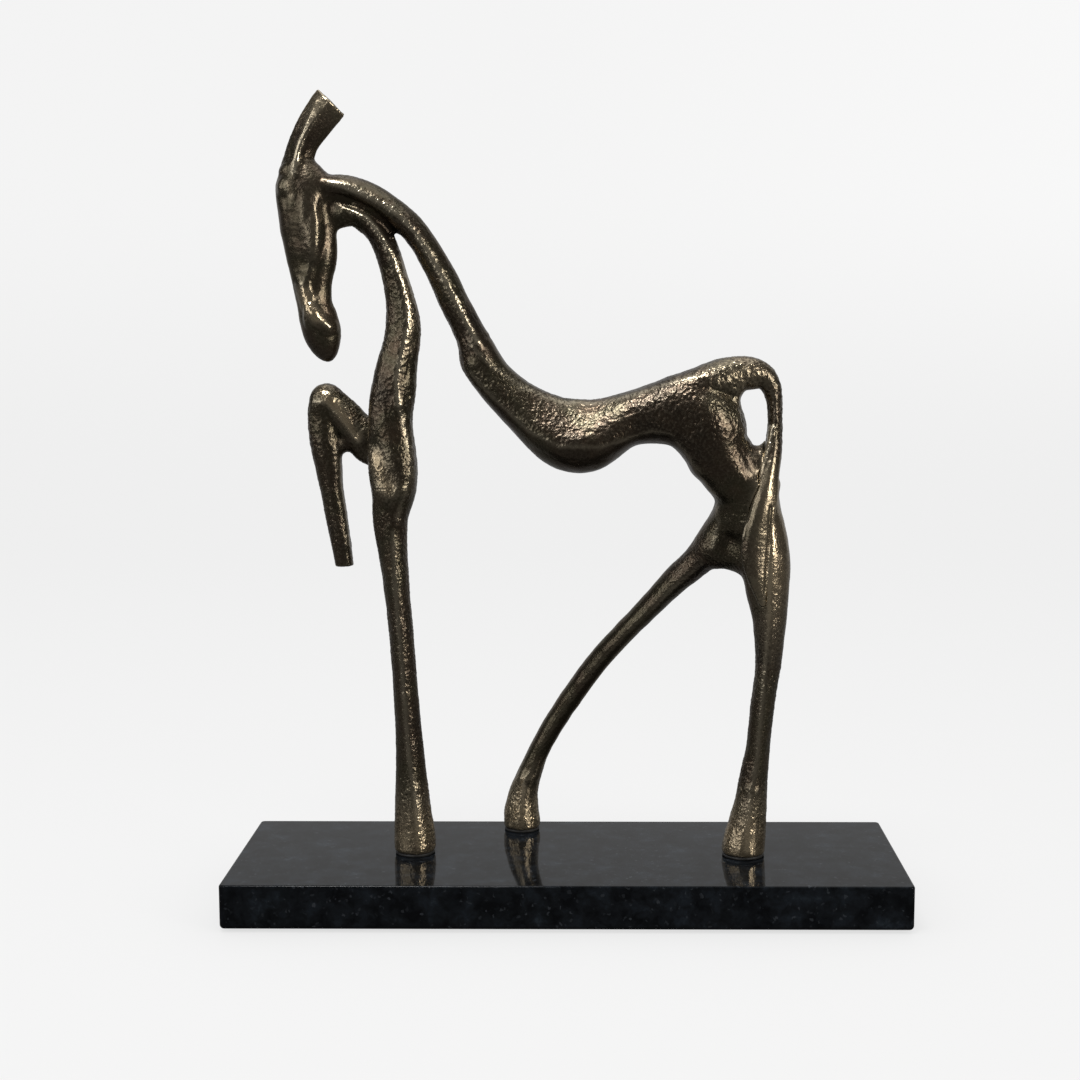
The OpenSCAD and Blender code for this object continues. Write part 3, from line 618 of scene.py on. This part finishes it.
# ------------------------------------------------------------------ castings
def cut(m, point, normal, near, inside, names):
    """Saws a closed mesh along a plane, only where near() is true, and closes both halves. inside() tells which half a face belongs to."""
    bm = bmesh.new()
    bm.from_mesh(m)
    bm.faces.ensure_lookup_table()
    c = np.array([f.calc_center_median()[:] for f in bm.faces])
    n = np.array(normal, float)
    n /= np.linalg.norm(n)
    lv = np.empty(len(m.loops), np.int32)
    m.loops.foreach_get("vertex_index", lv)
    start = np.empty(len(m.polygons), np.int32)
    m.polygons.foreach_get("loop_start", start)
    dv = ((coords(m) - np.array(point)) @ n)[lv]
    crosses = (np.minimum.reduceat(dv, start) < 1e-3) & (np.maximum.reduceat(dv, start) > -1e-3)
    pick = np.nonzero(crosses & near(c[:, 0], c[:, 1], c[:, 2]))[0]
    faces = [bm.faces[i] for i in pick]
    geom = set(faces)
    for f in faces:
        geom.update(f.edges)
        geom.update(f.verts)
    bmesh.ops.bisect_plane(bm, geom=list(geom), dist=1e-3, plane_co=Vector(point), plane_no=Vector(n))
    bm.faces.ensure_lookup_table()
    c = np.array([f.calc_center_median()[:] for f in bm.faces])
    part = inside(c[:, 0], c[:, 1], c[:, 2])
    print("cut", names, int(part.sum()), int((~part).sum()))
    out = []
    for k in (0, 1):
        b = bm.copy()
        b.faces.ensure_lookup_table()
        drop = [b.faces[i] for i in np.nonzero(part if k else ~part)[0]]
        bmesh.ops.delete(b, geom=drop, context="FACES")
        rim = [e for e in b.edges if len(e.link_faces) == 1]
        for e in rim:
            e.smooth = False
        before = len(b.faces)
        cap = bmesh.ops.holes_fill(b, edges=rim, sides=0)["faces"]
        bmesh.ops.triangulate(b, faces=cap)
        left = sum(len(e.link_faces) != 2 for e in b.edges)
        off = max([abs((v.co - Vector(point)).dot(Vector(n))) for e in rim if e.is_valid for v in e.verts] or [0])
        print("   ", names[k], "rim", len(rim), "cap", len(b.faces) - before, "open", left, "off plane %.3f" % off)
        new = bpy.data.meshes.new(names[k])
        b.to_mesh(new)
        b.free()
        out.append(new)
    bm.free()
    return out


NECK_AT = (-38.7, 0, 249)
NECK_N = (0.497, 0, -0.868)


def slit_x(z):
    """A line down the open slit between neck and throat."""
    return np.interp(z, [240, 250, 266, 285, 296, 303], [-45, -50, -58, -67.5, -72, -75])


def above_neck(x, y, z):
    return (x - NECK_AT[0]) * NECK_N[0] + (z - NECK_AT[2]) * NECK_N[2] < 0


FAR_N = (0.970, 0, -0.242)
front, back = cut(horse, NECK_AT, NECK_N, lambda x, y, z: (x > -58) & (x < -20) & (z > 235),
                  lambda x, y, z: above_neck(x, y, z) | (x < slit_x(z)), ("front", "back"))
ears_m, front = cut(front, (0, 0, 332.4), (0, 0, 1), lambda x, y, z: x < -94,
                    lambda x, y, z: (z > 332.4) & (x < -94), ("ear_tuft", "front"))
chest, head = cut(front, (0, 0, 300.0), (0, 0, 1), lambda x, y, z: (x > -99.5) & (x < -73.8),
                  lambda x, y, z: (z < 300) & (x < slit_x(z)) & ((x > -99.5) | (z < 246)), ("chest", "head_and_neck"))
raised, chest = cut(chest, (-91.6, 0, 0), (1, 0, 0), lambda x, y, z: (z > 190) & (z < 235),
                    lambda x, y, z: x < -91.6, ("raised_front_leg", "chest_and_front_leg"))
legs, body = cut(back, (0, 0, 184), (0, 0, 1), lambda x, y, z: x > 50,
                 lambda x, y, z: z < 184, ("legs", "body"))
far_leg, near_leg = cut(legs, (71, 0, 153), FAR_N, lambda x, y, z: (z > 120) & (x < 84),
                        lambda x, y, z: ((x - 71) * FAR_N[0] + (z - 153) * FAR_N[2] < 0) | ((x < 72) & (z < 160) & (z > 125)), ("far_hind_leg", "near_hind_leg"))
spare, body = cut(body, (80, 0, 0), (1, 0, 0), lambda x, y, z: z > 226,
                  lambda x, y, z: (x > 80) & (z > 226), ("spare", "body"))
spare, tail = cut(tail_mesh, (80, 0, 0), (1, 0, 0), lambda x, y, z: z > 226,
                  lambda x, y, z: (x < 80) & (z > 226), ("spare", "tail"))


# ------------------------------------------------------------------ node helpers
def new_material(name):
    mat = bpy.data.materials.new(name)
    mat.use_nodes = True
    nt = mat.node_tree
    nt.nodes.clear()
    out = nt.nodes.new("ShaderNodeOutputMaterial")
    bsdf = nt.nodes.new("ShaderNodeBsdfPrincipled")
    nt.links.new(bsdf.outputs[0], out.inputs[0])
    return mat, nt, bsdf


def node(nt, kind, inputs=None, **props):
    n = nt.nodes.new("ShaderNode" + kind)
    for k, v in props.items():
        setattr(n, k, v)
    for k, v in (inputs or {}).items():
        if isinstance(v, bpy.types.NodeSocket):
            nt.links.new(v, n.inputs[k])
        else:
            n.inputs[k].default_value = v
    return n


def maths(nt, op, a, b=0.5, c=None, clamp=False):
    n = nt.nodes.new("ShaderNodeMath")
    n.operation, n.use_clamp = op, clamp
    for i, v in enumerate((a, b) if c is None else (a, b, c)):
        if isinstance(v, bpy.types.NodeSocket):
            nt.links.new(v, n.inputs[i])
        else:
            n.inputs[i].default_value = v
    return n.outputs[0]


def ramp(nt, fac, stops):
    n = nt.nodes.new("ShaderNodeValToRGB")
    cr = n.color_ramp
    while len(cr.elements) < len(stops):
        cr.elements.new(0.5)
    for e, (p, col) in zip(cr.elements, stops):
        e.position = p
        e.color = (*col, 1) if len(col) == 3 else col
    nt.links.new(fac, n.inputs[0])
    return n.outputs[0]


def mix(nt, fac, a, b, blend="MIX"):
    n = nt.nodes.new("ShaderNodeMix")
    n.data_type, n.blend_type = "RGBA", blend
    for k, v in ((0, fac), (6, a), (7, b)):
        if isinstance(v, bpy.types.NodeSocket):
            nt.links.new(v, n.inputs[k])
        else:
            n.inputs[k].default_value = v if k == 0 else (*v, 1)
    return n.outputs[2]


def object_coords(nt, scale=(1, 1, 1)):
    tc = nt.nodes.new("ShaderNodeTexCoord")
    mp = node(nt, "Mapping", {"Vector": tc.outputs["Object"]})
    mp.inputs["Scale"].default_value = scale
    return mp.outputs[0]


# ------------------------------------------------------------------ bronze
bronze, nt, bsdf = new_material("bronze")
co = object_coords(nt)
peak = node(nt, "Attribute", attribute_name="peak").outputs["Fac"]
rub_and_highlight = node(nt, "Attribute", attribute_name="rub_and_highlight").outputs["Fac"]
rough = node(nt, "Attribute", attribute_name="rough").outputs["Fac"]
broad = node(nt, "TexNoise", {"Vector": co, "Scale": 38.0, "Detail": 3.0}).outputs["Fac"]
blotch = node(nt, "TexNoise", {"Vector": co, "Scale": 210.0, "Detail": 4.0, "Roughness": 0.6}).outputs["Fac"]
grain = node(nt, "TexNoise", {"Vector": co, "Scale": 1500.0, "Detail": 3.0, "Roughness": 0.7}).outputs["Fac"]
crown = node(nt, "Attribute", attribute_name="crown").outputs["Fac"]
patina = ramp(nt, broad, [(0.30, (0.034, 0.027, 0.020)), (0.45, (0.070, 0.050, 0.033)), (0.56, (0.066, 0.057, 0.034)), (0.72, (0.108, 0.073, 0.047))])
patina = mix(nt, maths(nt, "MULTIPLY", blotch, 0.5), patina, (0.032, 0.026, 0.020))
# Bright bare metal where the casting is worn, and painted highlights where the mask carries them at the nose, poll,
# shoulder facet and forearm.
bare_and_highlight = mix(nt, rub_and_highlight, (0.48, 0.42, 0.31), mix(nt, blotch, (0.55, 0.45, 0.31), (0.42, 0.32, 0.19)))
wear_and_highlight = maths(nt, "MULTIPLY", peak, maths(nt, "MULTIPLY_ADD", rub_and_highlight, 0.75, 0.30))
wear_and_highlight = maths(nt, "ADD", wear_and_highlight, maths(nt, "MULTIPLY_ADD", grain, 0.26, -0.13))
wear_and_highlight = maths(nt, "SUBTRACT", wear_and_highlight, 0.14, clamp=True)
wear_and_highlight = maths(nt, "ADD", wear_and_highlight, maths(nt, "MULTIPLY", crown, maths(nt, "MULTIPLY_ADD", blotch, 0.6, 0.45)), clamp=True)
wear_and_highlight = maths(nt, "ADD", wear_and_highlight, maths(nt, "MULTIPLY", rub_and_highlight, 0.22), clamp=True)
nt.links.new(mix(nt, wear_and_highlight, patina, bare_and_highlight), bsdf.inputs["Base Color"])
rg = maths(nt, "MULTIPLY_ADD", blotch, 0.18, 0.15)
rg = maths(nt, "MULTIPLY_ADD", wear_and_highlight, -0.08, rg)
nt.links.new(maths(nt, "MULTIPLY_ADD", maths(nt, "SUBTRACT", 1.0, peak), 0.07, rg), bsdf.inputs["Roughness"])
bsdf.inputs["Metallic"].default_value = 0.86
pit = node(nt, "TexVoronoi", {"Vector": co, "Scale": 1150.0, "Randomness": 1.0}, feature="SMOOTH_F1").outputs["Distance"]
micro = node(nt, "TexNoise", {"Vector": co, "Scale": 2200.0, "Detail": 2.0}).outputs["Fac"]
height = maths(nt, "MULTIPLY", maths(nt, "MULTIPLY_ADD", micro, 0.4, pit), maths(nt, "MULTIPLY_ADD", rough, 0.85, 0.12))
bump = node(nt, "Bump", {"Height": height, "Strength": 0.8, "Distance": 0.00018})
nt.links.new(bump.outputs[0], bsdf.inputs["Normal"])

# ------------------------------------------------------------------ granite
granite, nt, bsdf = new_material("granite")
co = object_coords(nt)
warp = node(nt, "TexNoise", {"Vector": co, "Scale": 160.0, "Detail": 4.0}).outputs["Color"]
wob = node(nt, "VectorMath", {0: warp, 1: (0.006, 0.006, 0.006)}, operation="MULTIPLY").outputs[0]
wco = node(nt, "VectorMath", {0: co, 1: wob}, operation="ADD").outputs[0]
cloud = node(nt, "TexNoise", {"Vector": wco, "Scale": 85.0, "Detail": 6.0, "Roughness": 0.65}).outputs["Fac"]
crystal = node(nt, "TexVoronoi", {"Vector": wco, "Scale": 330.0, "Randomness": 1.0}, feature="F1")
speck = node(nt, "TexVoronoi", {"Vector": wco, "Scale": 900.0, "Randomness": 1.0}, feature="F1")
tone = node(nt, "SeparateColor", {0: crystal.outputs["Color"]}).outputs[0]
tone2 = node(nt, "SeparateColor", {0: speck.outputs["Color"]}).outputs[1]
base = ramp(nt, cloud, [(0.40, (0.0026, 0.0029, 0.0035)), (0.52, (0.0058, 0.0068, 0.0082)), (0.62, (0.0095, 0.0120, 0.0155)), (0.74, (0.023, 0.030, 0.037))])
base = mix(nt, ramp(nt, tone, [(0.0, (0, 0, 0)), (0.75, (0.05, 0.05, 0.05)), (1.0, (0.3, 0.3, 0.3))]), base, (0.010, 0.0125, 0.016))
base = mix(nt, ramp(nt, tone2, [(0.955, (0, 0, 0)), (0.985, (0.3, 0.3, 0.3)), (1.0, (0.6, 0.6, 0.6))]), base, (0.040, 0.045, 0.052))
nt.links.new(base, bsdf.inputs["Base Color"])
nt.links.new(maths(nt, "MULTIPLY_ADD", cloud, 0.06, 0.035), bsdf.inputs["Roughness"])
bsdf.inputs["IOR"].default_value = 1.18
bump = node(nt, "Bump", {"Height": node(nt, "TexNoise", {"Vector": co, "Scale": 420.0, "Detail": 3.0}).outputs["Fac"], "Strength": 0.05, "Distance": 0.0001})
nt.links.new(bump.outputs[0], bsdf.inputs["Normal"])

# ------------------------------------------------------------------ pads, steel, felt
# Near-black discs under the hooves, with a little dust.
hoof_disc_black, nt, bsdf = new_material("pad")
co = object_coords(nt)
dust = node(nt, "TexNoise", {"Vector": co, "Scale": 500.0, "Detail": 4.0}).outputs["Fac"]
nt.links.new(ramp(nt, dust, [(0.35, (0.010, 0.010, 0.010)), (0.7, (0.024, 0.023, 0.022))]), bsdf.inputs["Base Color"])
nt.links.new(maths(nt, "MULTIPLY_ADD", dust, 0.25, 0.50), bsdf.inputs["Roughness"])
nt.links.new(node(nt, "Bump", {"Height": node(nt, "TexNoise", {"Vector": co, "Scale": 2400.0, "Detail": 2.0}).outputs["Fac"], "Strength": 0.4, "Distance": 0.0001}).outputs[0], bsdf.inputs["Normal"])

zinc, nt, bsdf = new_material("zinc_steel")
co = object_coords(nt, (1, 1, 6))
spangle = node(nt, "TexNoise", {"Vector": co, "Scale": 420.0, "Detail": 3.0}).outputs["Fac"]
scratch = node(nt, "TexNoise", {"Vector": object_coords(nt, (1, 1, 0.08)), "Scale": 3800.0, "Detail": 2.0}).outputs["Fac"]
nt.links.new(ramp(nt, spangle, [(0.3, (0.42, 0.43, 0.45)), (0.55, (0.56, 0.57, 0.58)), (0.75, (0.60, 0.58, 0.52))]), bsdf.inputs["Base Color"])
nt.links.new(maths(nt, "MULTIPLY_ADD", spangle, 0.25, 0.22), bsdf.inputs["Roughness"])
bsdf.inputs["Metallic"].default_value = 1.0
nt.links.new(node(nt, "Bump", {"Height": scratch, "Strength": 0.35, "Distance": 0.00006}).outputs[0], bsdf.inputs["Normal"])

felt, nt, bsdf = new_material("felt")
co = object_coords(nt)
fibre = node(nt, "TexNoise", {"Vector": co, "Scale": 900.0, "Detail": 6.0, "Roughness": 0.75, "Distortion": 1.5}).outputs["Fac"]
nt.links.new(ramp(nt, fibre, [(0.3, (0.008, 0.008, 0.009)), (0.55, (0.022, 0.022, 0.024)), (0.8, (0.060, 0.060, 0.064))]), bsdf.inputs["Base Color"])
bsdf.inputs["Roughness"].default_value = 0.95
bsdf.inputs["Sheen Weight"].default_value = 0.35
bsdf.inputs["Sheen Roughness"].default_value = 0.6
nt.links.new(node(nt, "Bump", {"Height": fibre, "Strength": 0.9, "Distance": 0.0003}).outputs[0], bsdf.inputs["Normal"])

MATS = {"bronze": bronze, "granite": granite, "pad": hoof_disc_black, "zinc_steel": zinc, "felt": felt}


# ------------------------------------------------------------------ pieces
def piece(name, m, mat, *nodes, scale=MM):
    P = coords(m) * scale
    m.vertices.foreach_set("co", P.astype(np.float32).ravel())
    m.update()
    m.materials.clear()
    m.materials.append(MATS[mat])
    o = add_object(name, m)
    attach(o, "root")
    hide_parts(*nodes)
    return o


for name, m in (("head_and_neck", head), ("ear_tuft", ears_m), ("chest_and_front_leg", chest), ("raised_front_leg", raised),
                ("body", body), ("far_hind_leg", far_leg), ("near_hind_leg", near_leg), ("tail", tail)):
    smooth = np.ones(len(m.polygons), bool)
    m.polygons.foreach_set("use_smooth", smooth)
    piece("bronze_" + name, m, "bronze", name)


def spin(rings, n, shape=None):
    """A closed shape turned about Z from rings of (radius, z). A radius may be a function of the angle."""
    th = np.linspace(0, 2 * np.pi, n, endpoint=False)
    pts = []
    for r, z in rings:
        rr = r(th) if callable(r) else np.full(n, float(r))
        zz = z(th) if callable(z) else np.full(n, float(z))
        pts.append(np.stack([rr * np.cos(th), rr * np.sin(th), zz], axis=1))
    P = np.concatenate(pts)
    k = len(rings)
    i, j = np.meshgrid(np.arange(k), np.arange(n), indexing="ij")
    a, b = i * n + j, i * n + (j + 1) % n
    c, d = ((i + 1) % k) * n + (j + 1) % n, ((i + 1) % k) * n + j
    return P, np.stack([a, b, c, d], axis=-1).reshape(-1, 4)


def pad_mesh(name, r, z0, z1, seed):
    """A near-black disc, a little proud round its edge, with a thin ridge round its side."""
    prof = [(0.15, 0), (r * 0.5, 0), (r - 0.7, 0), (r - 0.3, 0.08), (r - 0.07, 0.3), (r, 0.6), (r + 0.02, 0.74), (r, 0.88), (r - 0.05, 1.15), (r - 0.25, 1.40), (r - 0.6, 1.5), (r * 0.5, 1.5), (0.15, 1.5)]
    k = (z1 - z0) / 1.5
    wob = lambda rr, z: (lambda th: rr + (0.0 if rr < 1 else 0.05) * np.sin(th * 3 + seed) + (0.0 if rr < 1 else 0.03) * np.sin(th * 11 + 2 * seed + z))
    return spin([(wob(rr, z), z0 + z * k) for rr, z in prof], 128)


def bolt_thread(r, pitch, z0, z1, n=48, per=8):
    """A threaded rod: its radius follows the thread round and up, and runs out into a chamfer at each end."""
    zs = np.arange(z0, z1 + 1e-6, pitch / per)

    def ring(z):
        def rad(th):
            ph = (z / pitch - th / (2 * np.pi)) % 1.0
            tooth = np.clip(np.abs(ph - 0.5) * 2.6 - 0.3, 0, 1)
            lim = r - 0.95 + np.minimum(z - z0, z1 - z) * 1.0
            return np.minimum(r - 0.61 * pitch * tooth, np.maximum(lim, 0.5))
        return rad
    rings = [(0.1, z0)] + [(ring(z), z) for z in zs] + [(0.1, z1)]
    return spin(rings, n)


def hex_nut(af, hole, z0, z1, n=144):
    def flat(cap):
        return lambda th: np.minimum(af / 2 / np.cos((th + np.pi / 6) % (np.pi / 3) - np.pi / 6), cap)
    R = af / 2 / math.cos(math.pi / 6)
    top = [(hole + 0.35, z0), (af / 2 * 0.93, z0), (flat(af / 2 * 0.97), z0 + 0.06), (flat(af / 2 + (R - af / 2) * 0.45), z0 + 0.34), (flat(R - 0.06), z0 + 0.62), (flat(R - 0.03), z0 + 1.2)]
    bot = [(flat(R - 0.03), z1 - 1.2), (flat(R - 0.06), z1 - 0.62), (flat(af / 2 + (R - af / 2) * 0.45), z1 - 0.34), (flat(af / 2 * 0.97), z1 - 0.06), (af / 2 * 0.93, z1), (hole + 0.35, z1)]
    return spin(top + bot + [(hole, z1 - 0.4), (hole, z0 + 0.4)], n)


def washer_mesh(ro, ri, z0, z1):
    return spin([(ri + 0.08, z0), (ro - 0.2, z0), (ro - 0.05, z0 + 0.06), (ro, z0 + 0.25), (ro, z1 - 0.2), (ro - 0.06, z1 - 0.05), (ro - 0.2, z1), (ri + 0.1, z1), (ri, z1 - 0.12), (ri, z0 + 0.12)], 96)


def felt_mesh(r, z0, z1, seed):
    h = z1 - z0
    P, Q = spin([(0.1, z0)] + [(k, z0) for k in np.linspace(0.6, r - 0.3, 12)] + [(r - 0.08, z0 + 0.05 * h), (r - 0.02, z0 + 0.2 * h), (r, z0 + 0.4 * h), (r - 0.01, z0 + 0.6 * h), (r - 0.04, z0 + 0.8 * h), (r - 0.12, z1)]
                + [(k, z1) for k in np.linspace(r - 0.5, 0.6, 6)] + [(0.1, z1)], 180)
    side = step01(np.hypot(P[:, 0], P[:, 1]), r - 1.0, r - 0.3)
    k = 1 + side * (noise(P, 0.7, seed) * 0.010 + noise(P, 0.35, seed + 1) * 0.006 - 0.008)
    P[:, 0] *= k
    P[:, 1] *= k
    P[:, 2] += np.where(P[:, 2] < z0 + 0.02, np.abs(noise(P + seed, 0.8, seed + 2)) * 0.06, 0)
    return P, Q


def placed(name, PQ, at, mat, cad_node):
    P, Q = PQ
    m = make_mesh(name, P + np.array([at[0], at[1], 0.0]), Q)
    m.polygons.foreach_set("use_smooth", np.ones(len(m.polygons), bool))
    m.set_sharp_from_angle(angle=math.radians(38))
    return piece(name, m, mat, cad_node)


def mid(cad_node):
    lo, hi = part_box(cad_node)
    return [(lo[i] + hi[i]) / 2 / MM for i in range(3)], [(hi[i] - lo[i]) / MM for i in range(3)], [lo[i] / MM for i in range(3)]


for k, leg in enumerate(("front", "near_hind", "far_hind")):
    c, size, lo = mid(leg + "_hoof_pad")
    # A near-black disc fills the dark band between each hoof and the stone.
    placed(leg + "_dark_hoof_disc", pad_mesh(leg, size[0] / 2 - 0.1, lo[2], lo[2] + size[2], k + 1), c, "pad", leg + "_hoof_pad")
    c, size, lo = mid(leg + "_stud")
    placed(leg + "_threaded_stud", bolt_thread(size[0] / 2, 0.8, lo[2], lo[2] + size[2]), c, "zinc_steel", leg + "_stud")
    c, size, lo = mid(leg + "_washer")
    placed(leg + "_flat_washer", washer_mesh(size[0] / 2, 2.65, lo[2], lo[2] + size[2]), c, "zinc_steel", leg + "_washer")
    c, size, lo = mid(leg + "_nut")
    placed(leg + "_hex_nut", hex_nut(min(size[0], size[1]), 2.15, lo[2], lo[2] + size[2]), c, "zinc_steel", leg + "_nut")
for k, corner in enumerate(("front_left", "front_right", "back_left", "back_right")):
    c, size, lo = mid(corner + "_felt_foot")
    placed(corner + "_felt_disc", felt_mesh(size[0] / 2, lo[2], lo[2] + size[2], 31 + 5 * k), c, "felt", corner + "_felt_foot")

# The plinth: sawn granite with polished faces, eased arrises and three counterbored holes from below
c, size, lo = mid("granite_plinth")
bm = bmesh.new()
bmesh.ops.create_cube(bm, size=1.0)
for v in bm.verts:
    v.co = Vector((c[i] + v.co[i] * size[i] for i in range(3)))
bmesh.ops.bevel(bm, geom=[e for e in bm.edges if not all(v.co.z > c[2] for v in e.verts)], offset=2.0, segments=6, profile=0.5, affect="EDGES")
top = max(v.co.z for v in bm.verts)
bmesh.ops.bevel(bm, geom=[e for e in bm.edges if all(abs(v.co.z - top) < 1e-4 for v in e.verts) and len(e.link_faces) == 2 and any(abs(f.normal.z) < 0.5 for f in e.link_faces)], offset=0.9, segments=5, profile=0.5, affect="EDGES")
m = bpy.data.meshes.new("granite_plinth_stone")
bm.to_mesh(m)
bm.free()
stone = add_object("stone_blank", m)
drills = []
for leg in ("front", "near_hind", "far_hind"):
    at = mid(leg + "_stud")[0]
    P, Q = spin([(0.05, lo[2] - 1), (8.35, lo[2] - 1), (8.35, lo[2]), (8.0, lo[2] + 0.35), (8.0, lo[2] + 8), (3.0, lo[2] + 8), (3.0, lo[2] + size[2] - 0.3), (3.3, lo[2] + size[2]), (3.3, lo[2] + size[2] + 1), (0.05, lo[2] + size[2] + 1)], 96)
    d = add_object("drill_" + leg, make_mesh("drill_" + leg, P + np.array([at[0], at[1], 0.0]), Q))
    mod = stone.modifiers.new("bore", "BOOLEAN")
    mod.object, mod.operation, mod.solver = d, "DIFFERENCE", "EXACT"
    drills.append(d)
bpy.context.view_layer.update()
m2 = bpy.data.meshes.new_from_object(stone.evaluated_get(bpy.context.evaluated_depsgraph_get()))
for o in drills + [stone]:
    bpy.data.objects.remove(o)
m2.polygons.foreach_set("use_smooth", np.ones(len(m2.polygons), bool))
m2.set_sharp_from_angle(angle=math.radians(40))
m2.name = "granite_plinth_stone"
plinth = piece("granite_plinth_stone", m2, "granite", "granite_plinth")
wn = plinth.modifiers.new("even_shading", "WEIGHTED_NORMAL")
wn.keep_sharp = True

# ------------------------------------------------------------------ stage
ROOM_FRONT, ROOM_BACK, PAPER_GLOW = 0.02, 0.52, 0.834
backdrop = bpy.data.materials.new("paper_backdrop")
backdrop.use_nodes = True
nt = backdrop.node_tree
nt.nodes.clear()
paper = node(nt, "BsdfPrincipled", {"Base Color": (0.06, 0.06, 0.06, 1), "Roughness": 0.8, "Specular IOR Level": 0.0})
seen = nt.nodes.new("ShaderNodeLightPath").outputs["Is Camera Ray"]
depth = node(nt, "SeparateXYZ", {0: node(nt, "NewGeometry").outputs["Position"]}).outputs[1]
dim = node(nt, "MapRange", {"Value": depth, "From Min": -0.3, "From Max": 1.6, "To Min": ROOM_FRONT, "To Max": ROOM_BACK}, clamp=True).outputs[0]
# Painted contact shadow: the glow the camera sees is dimmed by ambient occlusion near things standing on the paper.
painted_contact_shadow = node(nt, "AmbientOcclusion", {"Distance": 0.12}, samples=8).outputs["AO"]
rise = node(nt, "MapRange", {"Value": node(nt, "SeparateXYZ", {0: node(nt, "NewGeometry").outputs["Position"]}).outputs[2], "From Min": 0.0, "From Max": 0.5, "To Min": 0.0, "To Max": 0.048}, clamp=True, interpolation_type="SMOOTHSTEP").outputs[0]
side = node(nt, "MapRange", {"Value": node(nt, "SeparateXYZ", {0: node(nt, "NewGeometry").outputs["Position"]}).outputs[0], "From Min": -0.1, "From Max": 0.9, "To Min": 0.0, "To Max": 0.8}, clamp=True).outputs[0]
rise = maths(nt, "MULTIPLY_ADD", rise, side, rise)
glow = node(nt, "Emission", {"Color": (1, 1, 1, 1), "Strength": maths(nt, "ADD", maths(nt, "MULTIPLY", seen, maths(nt, "ADD", rise, maths(nt, "MULTIPLY_ADD", painted_contact_shadow, 0.16 * PAPER_GLOW, 0.84 * PAPER_GLOW))), maths(nt, "MULTIPLY", maths(nt, "SUBTRACT", 1.0, seen), dim))})
both = node(nt, "AddShader", {0: paper.outputs[0], 1: glow.outputs[0]})
nt.links.new(both.outputs[0], nt.nodes.new("ShaderNodeOutputMaterial").inputs[0])
prof = [(-2.6, 0)] + [(1.2 + 0.8 * math.sin(a), 0.8 - 0.8 * math.cos(a)) for a in np.linspace(0, math.pi / 2, 24)] + [(2.0, 3.4)]
P = np.array([(x, y, z) for y, z in prof for x in (-3.5, 3.5)])
Q = np.array([(2 * i, 2 * i + 1, 2 * i + 3, 2 * i + 2) for i in range(len(prof) - 1)])
m = make_mesh("sweep", P, Q)
m.polygons.foreach_set("use_smooth", np.ones(len(m.polygons), bool))
m.materials.append(backdrop)
add_object("sweep", m)

world = bpy.data.worlds.new("studio")
scene.world = world
world.use_nodes = True
bg = world.node_tree.nodes["Background"]
bg.inputs[0].default_value = (1, 1, 1, 1)
bg.inputs[1].default_value = 0.03


def area(name, at, aim, size, power, colour=(1, 1, 1)):
    L = bpy.data.lights.new(name, "AREA")
    L.shape, L.size, L.size_y = "RECTANGLE", size[0], size[1]
    L.energy, L.color = power, colour
    o = bpy.data.objects.new(name, L)
    scene.collection.objects.link(o)
    o.location = at
    o.rotation_euler = (Vector(aim) - Vector(at)).to_track_quat("-Z", "Y").to_euler()
    return o


area("key", (-0.22, -0.46, 1.2), (0, 0, 0.22), (0.34, 0.24), 11.5)
area("front", (-0.95, -0.95, 0.55), (0, 0, 0.15), (0.6, 0.8), 3.1)
area("top", (0.1, 0.15, 1.5), (0, 0, 0.2), (1.3, 0.9), 6)
area("right", (0.95, -0.75, 0.5), (0, 0, 0.16), (0.35, 0.7), 8.2, (1, 0.96, 0.9))
area("left", (-1.1, -0.3, 0.6), (0, 0, 0.2), (0.3, 0.8), 2.2)

cam = bpy.data.cameras.new("camera")
cam.sensor_width = 36
cam.lens = 1760 / 1080 * 36
cam.shift_x = -43.3 / 1080
cam.clip_start, cam.clip_end = 0.01, 20
camera = bpy.data.objects.new("camera", cam)
camera.location = (0.0123, -0.7955, 0.2654)
camera.rotation_euler = (math.radians(83.0), 0, math.radians(0.377))
scene.collection.objects.link(camera)
scene.camera = camera
scene.view_settings.view_transform = "Standard"
scene.view_settings.look = "None"
